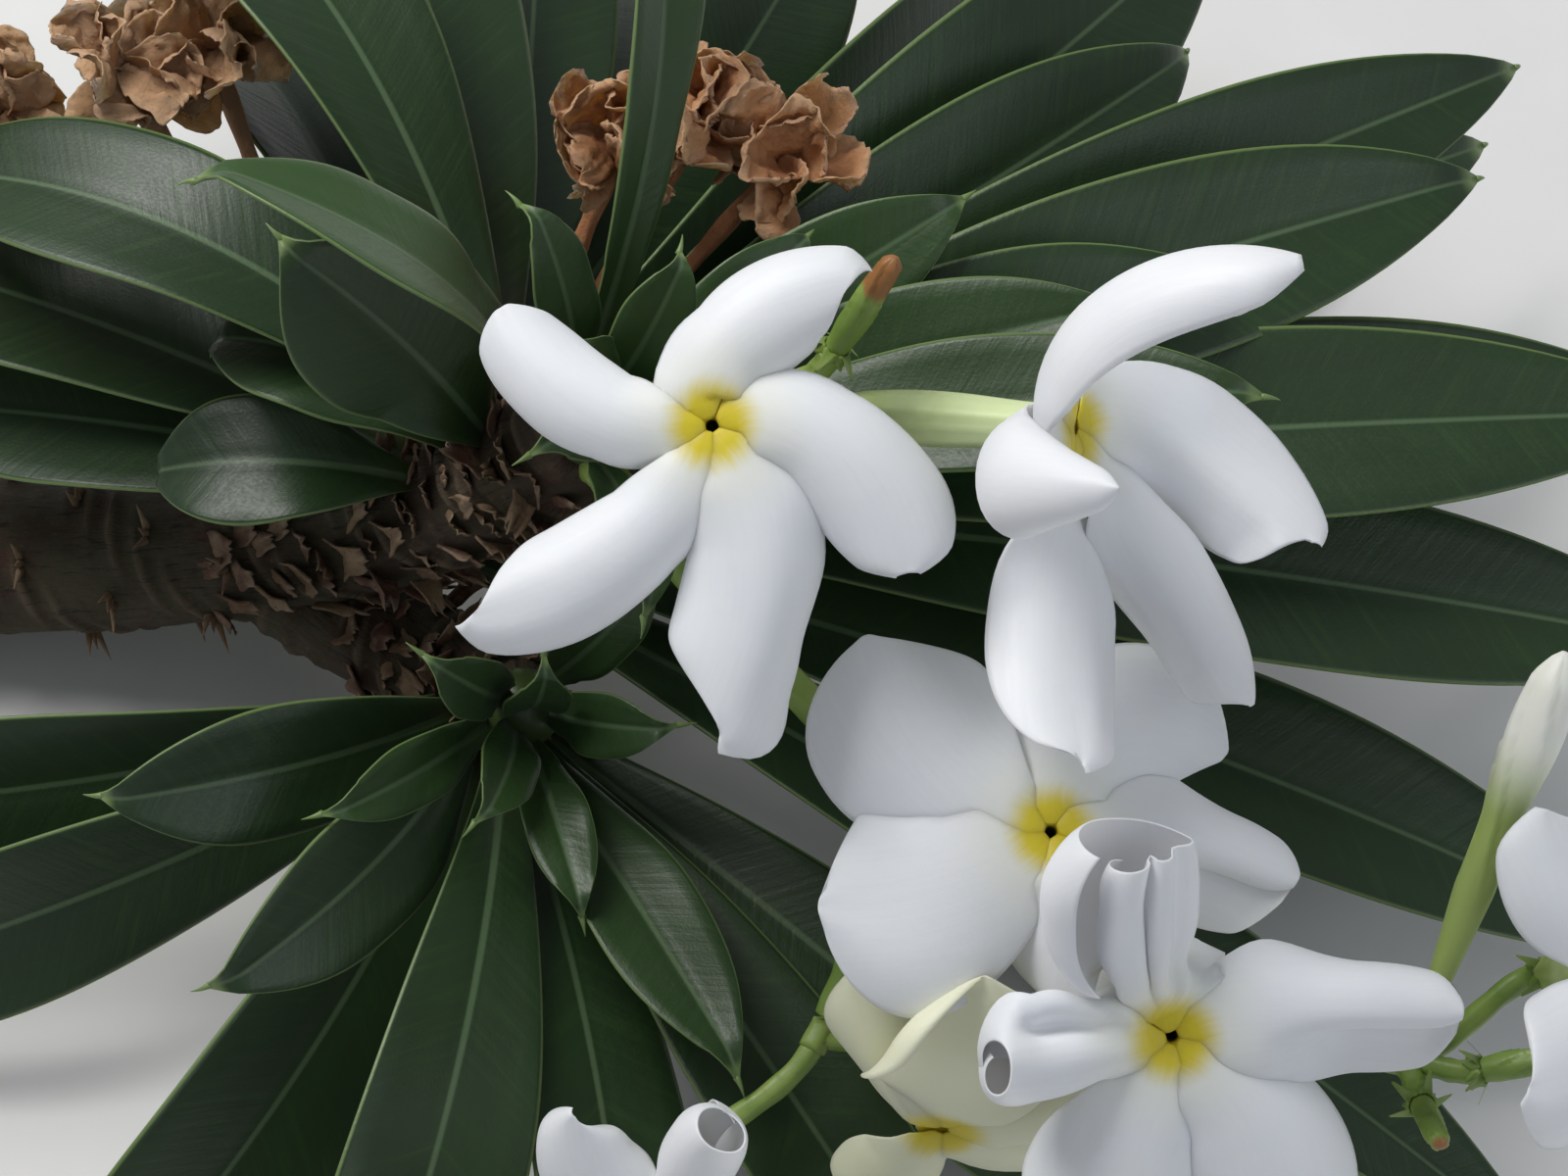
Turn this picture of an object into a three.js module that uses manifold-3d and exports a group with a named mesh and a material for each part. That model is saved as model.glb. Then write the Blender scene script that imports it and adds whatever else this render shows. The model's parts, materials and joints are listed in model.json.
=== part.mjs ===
// A cut flowering branch of a Madagascar palm, lying on the surface it was laid on.
// Millimetres, +Z up. The origin is on that surface, below the middle of the branch.
import * as THREE from 'three';
import { mergeVertices } from 'three/addons/utils/BufferGeometryUtils.js';
import Module from 'manifold-3d';

const wasm = await Module();
wasm.setup();

// The clearance between neighbouring pieces
const GAP = 0.35;

// The stem: cut square at its left end, lying there, and turned up towards its leafy tip
const STEM = {
  start: [-245, 96, 19], startPull: [-165, 96, 19], tipPull: [-85, 80, 30], tip: [-34, 59, 128],
  footRadius: 19, tipRadius: 12.5, sides: 14, steps: 18,
};
// The side shoot that forks off below the tip and carries the lower rosette
const SHOOT = {
  start: [-103, 80, 46], startPull: [-84, 66, 34], tipPull: [-56, 53, 40], tip: [-51, 38, 58],
  footRadius: 14, tipRadius: 10, sides: 12, steps: 10,
};

// Stubs of old leaves on the bare stem, laid out as the leaves are, by the golden angle
const STUBS = {
  count: 34, first: 104, spacing: 3.9, height: 3.6, radius: 4.2, depth: 0.8, tilt: 0.5, sides: 4, floor: 3,
};
const GOLDEN_ANGLE = 137.508;

// Leaf blades
const LEAF = {
  stations: 9, footShare: 0.15, swellEnd: 0.6, swellPower: 1.25, closePower: 2.3,
  fold: 0.16, ribTop: 0.35, ribDepth: 2.7, ribLeast: 0.45, ribFullHalf: 20, sunk: 3, rollSpeed: 3,
  hookStart: 0.93, hookDrop: 4,
};

// One row a leaf: the limb it grows on, how far below that limb's tip, its own tip, rise, width and roll
const LEAVES = {
  leaf_a01: ['stem', 9, [-101, 74, 189], 18, 30, 35],
  leaf_a02: ['stem', 26, [-88, 70, 168], 4, 34, -50],
  leaf_a03: ['stem', 6, [-34, 190, 178], 30, 20, 25],
  leaf_a04: ['stem', 38, [-109, 86, 115], 12, 27, 0],
  leaf_a05: ['stem', 50, [-121, 69, 94], 10, 26, 0],
  leaf_a06: ['stem', 32, [-172, 122, 116], 25.2, 34, 0],
  leaf_a07: ['stem', 58, [-176, 96, 76], 5.6, 32, 0],
  leaf_a08: ['stem', 9, [86, 56, 144], 4, 26, 0],
  leaf_a09: ['stem', 20, [61, 75, 143], 4, 26, 0],
  leaf_a10: ['stem', 27, [83, 97, 121], 12, 28, 0],
  leaf_a11: ['stem', 25, [34, 100, 141], 5.6, 24, 0],
  leaf_a12: ['stem', 33, [137, 130, 106], 14, 38, 0],
  leaf_a13: ['stem', 40, [150, 168, 91], 16, 36, 0],
  leaf_a14: ['stem', 49, [84, 172, 91], 16, 36, 0],
  leaf_a15: ['stem', 36, [178, 84, 92], 8.4, 38, 0],
  leaf_a16: ['stem', 46, [188, 50, 56], 14, 38, 0],
  leaf_a17: ['stem', 36, [-104, 232, 120], 20, 42, 0],
  leaf_a18: ['stem', 48, [-52, 236, 104], 8, 38, 0],
  leaf_a19: ['stem', 54, [-218, 132, 88], 12, 38, 0],
  leaf_a20: ['stem', 28, [-150, 212, 126], 32.4, 40, 0],
  leaf_a21: ['stem', 65, [16, 240, 68], 8.8, 40, 0],
  leaf_a22: ['stem', 54, [92, 214, 84], 22, 42, 0],
  leaf_a23: ['stem', 58, [150, 178, 50], 12.6, 40, 0],
  leaf_a24: ['stem', 54, [186, 120, 40], 16, 40, 0],
  leaf_a25: ['stem', 60, [176, 2, 20], 16, 38, 0],
  leaf_a26: ['stem', 66, [150, -60, 10], 14, 36, 0],
  leaf_a27: ['stem', 62, [-160, 220, 60], 28, 42, 0],
  leaf_a28: ['stem', 69, [-40, 250, 50], 22, 42, 0],
  leaf_a29: ['stem', 61, [60, 236, 40], 22, 42, 0],
  leaf_a30: ['stem', 82, [-226, 180, 50], 18, 40, 0],
  leaf_a31: ['stem', 82, [140, 216, 14], 7.2, 42, 0],
  leaf_b01: ['shoot', 13, [-226, -6, 10], 16, 36, 0],
  leaf_b02: ['shoot', 11, [-150, -92, 10], 18, 44, 0],
  leaf_b03: ['shoot', 8, [-8, -40, 62], 3.2, 22, 0],
  leaf_b04: ['shoot', 11, [-28, -112, 10], 16, 34, 0],
  leaf_b05: ['shoot', 3, [-92, -118, 16], 25.2, 36, 0],
  leaf_b06: ['shoot', 17, [-222, 28, 34], 12, 34, 0],
  leaf_b07: ['shoot', 10, [40, -90, 12], 12, 32, 0],
  leaf_b08: ['shoot', 15, [80, -60, 10], 12, 32, 0],
  leaf_b09: ['shoot', 9, [-104, -30, 74], 10, 26, 0],
  leaf_b10: ['shoot', 9, [-126, 4, 84], 8, 26, 0],
};

// The growing tips, each with its young upright leaves
const HEARTS = {
  heart_a: {
    limb: 'stem', aside: [-2.1, 2.1], leaves: 8, radius: 7, turn: 80, lean: 38, length: 50, width: 14,
  },
  heart_b: {
    limb: 'shoot', aside: [0, 0], leaves: 7, radius: 8, turn: 10, lean: 30, length: 52, width: 13,
  },
};
// A heart's knob: height and width shares of its rings; and how its leaves change from first to last
const HEART = {
  rings: [[0, 1], [0.45, 0.86], [0.8, 0.5]], sides: 10, sunk: 1, footSpread: 0.72, shortest: 0.6,
  leanLeast: 0.5, riseShare: 0.08, stations: 4,
};

// The side of the branch that carries the flowers looks up and forward; flowers are aimed in its directions
const FACE_TILT = THREE.MathUtils.degToRad(60);
const ACROSS = new THREE.Vector3(1, 0, 0);
const UPWARD = new THREE.Vector3(0, Math.sin(FACE_TILT), Math.cos(FACE_TILT));
const OUTWARD = new THREE.Vector3(0, -Math.cos(FACE_TILT), Math.sin(FACE_TILT));

// Petals and flower tubes
const PETAL = {
  stations: 5, columns: 4, thickness: 1.1, root: 4.2, sunk: 2, widest: 0.62, footShare: 0.34,
  tipShare: 0.34, widePower: 1.1, closePower: 2.6, sweepPower: 0.7, liftPower: 0.8, bendLeast: 0.25,
  bendSpeed: 2.2,
};
const TUBE = {
  footRadius: 2.4, belly: 2.1, bellyPower: 0.8, neckRadius: 3, mouthRadius: 5.4, mouthPower: 14,
  mouthDepth: 1, sides: 8, steps: 5, pull: 0.4,
};

// A flower: throat centre, facing (across, upward, outward), tube foot, the foot's aim, and its petals.
// A petal: heading, sweep, length, width, arch, lift at foot, lift at tip, roll.
const FLOWERS = {
  flower_1: {
    centre: [-12.1, 23.7, 183.7], facing: [0, 0.03, 1], foot: [-12, 44.7, 147.3], aim: [0, -0.4, 0.9],
    petals: [
      [190, -76, 40, 30, 88, 6, -9, 0],
      [118, -130, 42, 30, 86, 11, -4, 12],
      [25, -119, 49, 31, 88, 9, -13, 0],
      [-51, -71, 52, 34, 62, 5, -13, 0],
      [-105, -73, 53, 30, 85, 6, -12, 0],
    ],
  },
  flower_2: {
    centre: [52, 29.5, 173.2], facing: [0.9, -0.05, 0.42], foot: [3.4, 44.1, 153.9], aim: [0.92, -0.2, 0.3],
    petals: [
      [167, -78, 67, 31, 84, 6, 108, 0],
      [203, -27, 68, 31, 84, -24, 86, 0],
      [283, -44, 56, 27, 60, -14, 26, 0],
      [-32, -79, 55, 29, 82, 19, 40, 0],
      [26, -119, 51, 30, 66, 19, 59, 0],
    ],
  },
  flower_3: {
    centre: [46.4, -24, 128.4], facing: [0.05, 0.2, 1], foot: [44.5, -11.8, 92.4], aim: [0, -0.35, 0.92],
    petals: [
      [164, -58, 45, 38, 26, 7, -1, 0],
      [222, -46, 41, 41, 36, 7, -4, 0],
      [-60, -50, 30, 30, 50, 0, -31, 0],
      [17, -69, 42, 31, 80, 1, -10, 0],
      [94, -130, 42, 32, 60, 6, -24, 0],
    ],
  },
  flower_4: {
    centre: [66.4, -60.2, 120.2], facing: [0.02, -0.1, 1], foot: [65.6, -36.8, 87.7], aim: [0, -0.55, 0.83],
    petals: [
      [116, -43, 37, 28, -100, 27, 29, 0],
      [205, -36, 32, 27, -105, 16, 10, 0],
      [26, -51, 43, 33, 82, 14, -3, 0],
      [-33, -60, 44, 35, 58, 0, -16, 0],
      [-102, -24, 41, 35, 58, 0, -11, 0],
    ],
  },
  flower_5: {
    centre: [28, -61.4, 79.1], facing: [-0.1, -0.5, 0.85], foot: [29, -35.4, 64.4], aim: [-0.1, -0.85, 0.5],
    petals: [
      [140, -20, 31, 30, 40, 26, 10, 0],
      [80, -30, 31, 30, -50, 30, 16, 0],
      [0, -20, 28, 26, 60, 4, -20, 0],
      [-72, -20, 30, 26, 70, -6, -30, 0],
      [212, -20, 30, 26, 70, -6, -20, 0],
    ],
  },
  flower_6: {
    centre: [-18.9, -85.4, 81.4], facing: [-0.05, -0.35, 0.93], foot: [-17, -56, 57.3],
    aim: [-0.1, -0.8, 0.6],
    petals: [
      [150, -60, 34, 26, 82, 14, 0, 0],
      [92, -80, 34, 26, 84, 18, 4, 0],
      [4, -60, 42, 29, 82, 4, -12, 0],
      [-70, -50, 42, 30, 70, 0, -12, 0],
      [222, -60, 42, 29, 82, 0, -12, 0],
    ],
  },
  flower_7: {
    centre: [155, -41, 115], facing: [0.55, 0.15, 0.8], foot: [136, -33, 89], aim: [0.56, -0.27, 0.78],
    petals: [
      [165, -60, 33, 28, 80, 6, -4, 0],
      [92, -60, 40, 29, 84, 4, -6, 0],
      [20, -50, 42, 29, 80, 0, -12, 0],
      [-52, -50, 42, 29, 80, 0, -12, 0],
      [237, -50, 38, 29, 76, 4, -8, 0],
    ],
  },
};

const SPINDLE = { steps: 8, footRadius: 2 };
// Closed blooms and buds: foot, tip, greatest radius, share of the length at which it is widest
const BUDS = {
  flower_8: { foot: [114.8, -41.3, 100], tip: [134, 0, 148], radius: 5.4, widest: 0.72, sides: 10 },
  bud_1: { foot: [8.5, 50.4, 164.5], tip: [19.2, 56.4, 185.3], radius: 2.9, widest: 0.45, sides: 8 },
};
// Small green buds that stay on their stalk
const SMALL_BUDS = {
  small_bud_1: { foot: [122, -53, 91], tip: [135, -53, 97], radius: 2.8, widest: 0.5, sides: 7 },
  small_bud_2: { foot: [112, -58, 90], tip: [114, -70, 98], radius: 2.4, widest: 0.5, sides: 7 },
};

// Flower stalks. A trunk has its curve and two radii; a twig leaves the last trunk at a share of its length
// and ends at the foot of a flower or bud.
const STALKS = {
  flower_stalk_upper: [
    { curve: [[-27, 59.7, 124.8], [-24, 58, 132], [-18, 51, 134], [-12.5, 48, 140]], radii: [3.2, 2.6] },
    { at: 0.9, to: 'flower_1' },
    { curve: [[-23.5, 57, 130.5], [-19, 57, 138], [-10, 57, 142], [-3, 54, 149]], radii: [2.8, 2.4] },
    { at: 0.9, to: 'flower_2' },
    { at: 0.95, to: 'bud_1' },
  ],
  flower_stalk_lower: [
    { curve: [[-33.9, 50.4, 126.5], [-26, 36, 140], [40, -16, 40], [114, -50, 88]], radii: [3.6, 2.8] },
    { at: 0.62, to: 'flower_3' },
    { at: 0.72, to: 'flower_4' },
    { at: 0.97, to: 'flower_8' },
    { at: 0.96, to: 'flower_7' },
    { at: 0.985, to: 'small_bud_1' },
    { at: 0.96, to: 'small_bud_2' },
    { curve: [[15.3, 7.5, 93.5], [20, -4, 82], [14, -18, 64], [5, -34, 58]], radii: [2.8, 2.5] },
    { at: 0.9, to: 'flower_5' },
    { at: 0.97, to: 'flower_6' },
  ],
};
const TWIG = { radius: 2.1, sides: 6, steps: 4, trunkSteps: 10, pull: 0.4 };

// Withered blossoms on their dry stalks: foot inside the stem, middles of the crumpled heads, their radius
const DRY_BLOSSOMS = {
  dry_blossom_1: {
    foot: [-62, 71, 86], heads: [[-30, 114, 136], [-10, 122, 138], [6, 114, 130]], radius: 17,
  },
  dry_blossom_2: {
    foot: [-78, 76, 68], heads: [[-110, 146, 124], [-126, 138, 130], [-150, 134, 120]], radius: 16,
  },
};
const CRUMPLE = {
  petals: 3, stations: 2, columns: 2, root: 1, thickness: 1.4, width: 1.5, arch: -60, core: 4.5, stalk: 1.9,
  stalkSides: 5, stalkSteps: 3, stalkBend: 0.6, stalkSag: 8, turnSpread: 40, sweepSpread: 60, sizeSpread: 0.2,
  liftFoot: 40, liftFootSpread: 30, liftTip: 20, liftTipSpread: 50, rollSpread: 40,
  aimAcross: 0.7, aimBack: -0.2, aimSpread: 0.4,
};

const vector = ([x, y, z]) => new THREE.Vector3(x, y, z);
const rad = THREE.MathUtils.degToRad;
const mix = THREE.MathUtils.lerp;
const smooth = (share) => Math.min(1, Math.max(0, share));
const wobble = (seed, k) => {
  const value = Math.sin(seed * 12.9898 + k * 78.233) * 43758.5453;
  return 2 * (value - Math.floor(value)) - 1;
};

// A closed surface through rings of points; the last ring may be one point
function loft(rings) {
  const points = rings.flat();
  const index = [];
  let start = 0;
  for (let i = 0; i + 1 < rings.length; i++) {
    const count = rings[i].length;
    const next = start + count;
    for (let k = 0; k < count; k++) {
      const right = (k + 1) % count;
      if (rings[i + 1].length === 1) {
        index.push(start + k, start + right, next);
      } else {
        index.push(start + k, start + right, next + right, start + k, next + right, next + k);
      }
    }
    start = next;
  }
  for (let k = 1; k + 1 < rings[0].length; k++) index.push(0, k + 1, k);
  for (let k = 1; k + 1 < rings.at(-1).length; k++) index.push(start, start + k, start + k + 1);
  const geometry = new THREE.BufferGeometry().setFromPoints(points);
  geometry.setIndex(index);
  return geometry;
}

function solid(geometry) {
  geometry.deleteAttribute('normal');
  geometry.deleteAttribute('uv');
  const welded = mergeVertices(geometry, 1e-3);
  const corners = welded.index.array;
  const triangles = [];
  for (let i = 0; i < corners.length; i += 3) {
    const [a, b, c] = corners.slice(i, i + 3);
    if (a !== b && b !== c && c !== a) triangles.push(a, b, c);
  }
  const vertProperties = new Float32Array(welded.attributes.position.array);
  const triVerts = new Uint32Array(triangles);
  return new wasm.Manifold(new wasm.Mesh({ numProp: 3, vertProperties, triVerts }));
}

function fuse(solids) {
  return solids.reduce((whole, piece) => whole.add(piece));
}

// The largest body that a cut leaves
function largest(whole) {
  const bodies = whole.decompose();
  return bodies.reduce((best, body) => (body.volume() > best.volume() ? body : best));
}

// Two directions square to a limb's own
function sideways(direction) {
  const reference = Math.abs(direction.y) < 0.8 ? new THREE.Vector3(0, 1, 0) : new THREE.Vector3(1, 0, 0);
  const first = reference.addScaledVector(direction, -reference.dot(direction)).normalize();
  return [first, new THREE.Vector3().crossVectors(direction, first)];
}

function around(first, second, angle) {
  return first.clone().multiplyScalar(Math.cos(angle)).addScaledVector(second, Math.sin(angle));
}

function ring(middle, direction, radius, sides) {
  const [first, second] = sideways(direction);
  return Array.from({ length: sides }, (_, k) =>
    middle.clone().addScaledVector(around(first, second, (2 * Math.PI * k) / sides), radius));
}

function tube(curve, radiusAt, sides, steps) {
  const rings = [];
  for (let i = 0; i <= steps; i++) {
    const u = i / steps;
    rings.push(ring(curve.getPointAt(u), curve.getTangentAt(u), radiusAt(u), sides));
  }
  return solid(loft(rings));
}

// A limb: its curve, its radius along it, and places measured back from its tip
function makeLimb(shape) {
  const curve = new THREE.CubicBezierCurve3(
    vector(shape.start), vector(shape.startPull), vector(shape.tipPull), vector(shape.tip));
  const length = curve.getLength();
  const radiusAt = (u) => mix(shape.footRadius, shape.tipRadius, u);
  const at = (back) => {
    const u = 1 - back / length;
    return { point: curve.getPointAt(u), axis: curve.getTangentAt(u), radius: radiusAt(u) };
  };
  const body = (grow) => tube(curve, (u) => radiusAt(u) + grow, shape.sides, shape.steps);
  return { at, body };
}

const limbs = { stem: makeLimb(STEM), shoot: makeLimb(SHOOT) };

// The stem with its stubs; none grows where the stem lies on the floor
function stemSolid(grow) {
  const parts = [limbs.stem.body(grow)];
  for (let i = 0; i < STUBS.count; i++) {
    const { point, axis, radius } = limbs.stem.at(STUBS.first + STUBS.spacing * i);
    const [first, second] = sideways(axis);
    const outward = around(first, second, rad(GOLDEN_ANGLE * i));
    const peak = point.clone().addScaledVector(outward, radius + STUBS.height + grow * 2);
    peak.addScaledVector(axis, STUBS.height * STUBS.tilt);
    if (peak.z < STUBS.floor) continue;
    const root = point.addScaledVector(outward, radius * STUBS.depth);
    parts.push(solid(loft([ring(root, outward, STUBS.radius + grow, STUBS.sides), [peak]])));
  }
  return fuse(parts);
}

// Leaf blades
function leafShare(s) {
  const swell = Math.sin((Math.PI / 2) * Math.min(1, s / LEAF.swellEnd)) ** LEAF.swellPower;
  const close = Math.max(0, (s - LEAF.swellEnd) / (1 - LEAF.swellEnd)) ** LEAF.closePower;
  return mix(LEAF.footShare, 1, swell) * (1 - close);
}

// A leaf runs from its foot to its tip on an arc that rises towards its upper face
function leafStation(leaf, s) {
  const chord = leaf.tip.clone().sub(leaf.foot);
  const upper = leaf.axis.clone().addScaledVector(chord, -leaf.axis.dot(chord) / chord.lengthSq());
  upper.normalize();
  const along = chord.clone().addScaledVector(upper, leaf.rise * 4 * (1 - 2 * s)).normalize();
  const face = upper.clone().addScaledVector(along, -upper.dot(along)).normalize();
  face.applyAxisAngle(along, rad(leaf.roll * smooth(s * LEAF.rollSpeed)));
  const side = new THREE.Vector3().crossVectors(face, along);
  const hook = LEAF.hookDrop * smooth((s - LEAF.hookStart) / (1 - LEAF.hookStart)) ** 2;
  const middle = leaf.foot.clone().addScaledVector(chord, s);
  middle.addScaledVector(upper, leaf.rise * 4 * s * (1 - s)).addScaledVector(face, -hook);
  return { middle, along, face, side, half: (leaf.width / 2) * leafShare(s) };
}

function leafSolid(leaf, grow, stations = LEAF.stations) {
  const rings = [];
  for (let i = 0; i < stations; i++) {
    const { middle, face, side, half } = leafStation(leaf, i / stations);
    const edge = half + grow * 2;
    const lift = half * LEAF.fold;
    const depth = LEAF.ribDepth * Math.min(1, LEAF.ribLeast + half / LEAF.ribFullHalf) + grow;
    rings.push([
      middle.clone().addScaledVector(face, LEAF.ribTop + grow),
      middle.clone().addScaledVector(side, -edge).addScaledVector(face, lift),
      middle.clone().addScaledVector(face, -depth),
      middle.clone().addScaledVector(side, edge).addScaledVector(face, lift),
    ]);
  }
  rings.push([leafStation(leaf, 1).middle]);
  return solid(loft(rings));
}

function rootLeaf(limbName, back, tip, rise, width, roll) {
  const { point, axis, radius } = limbs[limbName].at(back);
  const outward = tip.clone().sub(point);
  outward.addScaledVector(axis, -outward.dot(axis)).normalize();
  const foot = point.clone().addScaledVector(outward, radius - LEAF.sunk);
  return { foot, tip, axis, rise, width, roll };
}

// The growing tip of a limb, with its young upright leaves
function heartSolid(heart) {
  const { point, axis } = limbs[heart.limb].at(0);
  const [first, second] = sideways(axis);
  const seat = point.clone().addScaledVector(axis, GAP);
  seat.addScaledVector(first, heart.aside[0]).addScaledVector(second, heart.aside[1]);
  const rings = HEART.rings.map(([high, wide]) =>
    ring(seat.clone().addScaledVector(axis, heart.radius * high), axis, heart.radius * wide, HEART.sides));
  const parts = [solid(loft([...rings, [seat.clone().addScaledVector(axis, heart.radius)]]))];
  for (let i = 0; i < heart.leaves; i++) {
    const share = (i + 1) / heart.leaves;
    const azimuth = rad(heart.turn + GOLDEN_ANGLE * i);
    const outward = around(first, second, azimuth);
    const lean = rad(heart.lean * (HEART.leanLeast + share));
    const aim = axis.clone().multiplyScalar(Math.cos(lean)).addScaledVector(outward, Math.sin(lean));
    const foot = seat.clone().addScaledVector(outward, heart.radius * HEART.footSpread * Math.sqrt(share));
    foot.addScaledVector(axis, HEART.sunk);
    const tip = foot.clone().addScaledVector(aim, heart.length * mix(HEART.shortest, 1, share));
    const leaf = { foot, tip, axis, rise: heart.length * HEART.riseShare, width: heart.width, roll: 0 };
    parts.push(leafSolid(leaf, 0, HEART.stations));
  }
  return fuse(parts);
}

// Petals, in the flower's own frame: X and Y in its face, Z towards whoever looks into it
function petalShare(s) {
  const swell = Math.sin((Math.PI / 2) * Math.min(1, s / PETAL.widest)) ** PETAL.widePower;
  const grow = mix(PETAL.footShare, 1, swell);
  const close = Math.max(0, (s - PETAL.widest) / (1 - PETAL.widest));
  return grow * Math.sqrt(1 - (1 - PETAL.tipShare ** 2) * close ** PETAL.closePower);
}

function petalGrid(petal, rows, columns, root = PETAL.root) {
  const [heading, sweep, length, width, arch, liftFoot, liftTip, roll] = petal;
  const start = rad(heading);
  const point = new THREE.Vector3(Math.cos(start) * root, Math.sin(start) * root, -PETAL.sunk);
  const grid = [];
  for (let i = 0; i <= rows; i++) {
    const s = i / rows;
    const lift = rad(mix(liftFoot, liftTip, s ** PETAL.liftPower));
    const turn = start + rad(sweep) * s ** PETAL.sweepPower;
    const along = new THREE.Vector3(
      Math.cos(turn) * Math.cos(lift), Math.sin(turn) * Math.cos(lift), Math.sin(lift));
    const side = new THREE.Vector3(-Math.sin(turn), Math.cos(turn), 0);
    const face = new THREE.Vector3().crossVectors(along, side);
    side.applyAxisAngle(along, rad(roll * s));
    face.applyAxisAngle(along, rad(roll * s));
    const half = (width / 2) * petalShare(s);
    const bend = rad(arch) * Math.min(1, PETAL.bendLeast + s * PETAL.bendSpeed);
    const radius = half / bend;
    const row = [];
    for (let j = 0; j <= columns; j++) {
      const angle = bend * ((2 * j) / columns - 1);
      const spot = point.clone().addScaledVector(side, radius * Math.sin(angle));
      row.push(spot.addScaledVector(face, -radius * (1 - Math.cos(angle))));
    }
    grid.push(row);
    point.addScaledVector(along, length / rows);
  }
  return grid;
}

// A sheet of even thickness around a grid of points
function sheetSolid(grid, thickness) {
  const rows = grid.length;
  const columns = grid[0].length;
  const normals = grid.map((row, i) => row.map((_, j) => {
    const down = grid[Math.min(i + 1, rows - 1)][j].clone().sub(grid[Math.max(i - 1, 0)][j]);
    const right = grid[i][Math.min(j + 1, columns - 1)].clone().sub(grid[i][Math.max(j - 1, 0)]);
    return down.cross(right).normalize();
  }));
  const layer = (offset) => grid.flatMap((row, i) =>
    row.map((p, j) => p.clone().addScaledVector(normals[i][j], offset)));
  const points = [...layer(thickness / 2), ...layer(-thickness / 2)];
  const under = rows * columns;
  const index = [];
  for (let i = 0; i + 1 < rows; i++) {
    for (let j = 0; j + 1 < columns; j++) {
      const a = i * columns + j;
      const b = a + columns;
      index.push(a, b, b + 1, a, b + 1, a + 1);
      index.push(under + a, under + b + 1, under + b, under + a, under + a + 1, under + b + 1);
    }
  }
  const rim = [];
  for (let j = 0; j + 1 < columns; j++) rim.push(j);
  for (let i = 0; i + 1 < rows; i++) rim.push(i * columns + columns - 1);
  for (let j = columns - 1; j > 0; j--) rim.push((rows - 1) * columns + j);
  for (let i = rows - 1; i > 0; i--) rim.push(i * columns);
  rim.forEach((a, k) => {
    const b = rim[(k + 1) % rim.length];
    index.push(a, b, under + b, a, under + b, under + a);
  });
  const geometry = new THREE.BufferGeometry().setFromPoints(points);
  geometry.setIndex(index);
  return solid(geometry);
}

function faceDirection([across, upward, outward]) {
  return new THREE.Vector3().addScaledVector(ACROSS, across).addScaledVector(UPWARD, upward)
    .addScaledVector(OUTWARD, outward).normalize();
}

// The frame of a flower: Z along its facing, Y as near upward as that allows
function flowerMatrix(flower) {
  const z = faceDirection(flower.facing);
  const y = UPWARD.clone().addScaledVector(z, -UPWARD.dot(z)).normalize();
  const x = new THREE.Vector3().crossVectors(y, z);
  return new THREE.Matrix4().makeBasis(x, y, z).setPosition(vector(flower.centre));
}

function flowerSolid(flower, matrix) {
  const back = matrix.clone().invert();
  const foot = vector(flower.foot).applyMatrix4(back);
  const aim = vector(flower.aim).transformDirection(back);
  const pull = foot.length() * TUBE.pull;
  const curve = new THREE.CubicBezierCurve3(
    foot, foot.clone().addScaledVector(aim, pull), new THREE.Vector3(0, 0, -pull),
    new THREE.Vector3(0, 0, -TUBE.mouthDepth));
  const radiusAt = (u) => mix(TUBE.footRadius, TUBE.neckRadius, u)
    + TUBE.belly * Math.sin(Math.PI * u ** TUBE.bellyPower)
    + (TUBE.mouthRadius - TUBE.neckRadius) * u ** TUBE.mouthPower;
  const parts = [tube(curve, radiusAt, TUBE.sides, TUBE.steps)];
  for (const petal of flower.petals) {
    parts.push(sheetSolid(petalGrid(petal, PETAL.stations, PETAL.columns - 1), PETAL.thickness));
  }
  return fuse(parts);
}

// A bud or closed bloom: a spindle from its foot to its tip
function budSolid(bud) {
  const foot = vector(bud.foot);
  const whole = vector(bud.tip).sub(foot);
  const axis = whole.clone().normalize();
  const rings = [];
  for (let i = 0; i < SPINDLE.steps; i++) {
    const s = i / SPINDLE.steps;
    const swell = s < bud.widest ? s / bud.widest : (1 - s) / (1 - bud.widest);
    const radius = mix(SPINDLE.footRadius, bud.radius, Math.sin((Math.PI / 2) * swell));
    rings.push(ring(foot.clone().addScaledVector(whole, s), axis, radius, bud.sides));
  }
  return solid(loft([...rings, [vector(bud.tip)]]));
}

function stalkEnd(name) {
  const bud = BUDS[name] ?? SMALL_BUDS[name];
  if (bud) return { foot: vector(bud.foot), aim: vector(bud.tip).sub(vector(bud.foot)).normalize() };
  return { foot: vector(FLOWERS[name].foot), aim: vector(FLOWERS[name].aim).normalize() };
}

function stalkSolid(rows, grow) {
  const parts = [];
  let trunk = null;
  for (const row of rows) {
    if (row.curve) {
      trunk = new THREE.CubicBezierCurve3(...row.curve.map(vector));
      parts.push(tube(trunk, (u) => mix(...row.radii, u) + grow, TWIG.sides, TWIG.trunkSteps));
      continue;
    }
    const { foot, aim } = stalkEnd(row.to);
    const from = trunk.getPointAt(row.at);
    const small = SMALL_BUDS[row.to];
    if (small) parts.push(budSolid(small));
    const end = foot.clone().addScaledVector(aim, small ? 1 : grow - GAP);
    const pull = from.distanceTo(end) * TWIG.pull;
    const start = from.clone().addScaledVector(trunk.getTangentAt(row.at), pull);
    const twig = new THREE.CubicBezierCurve3(from, start, end.clone().addScaledVector(aim, -pull), end);
    parts.push(tube(twig, () => TWIG.radius + grow, TWIG.sides, TWIG.steps));
  }
  return fuse(parts);
}

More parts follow.
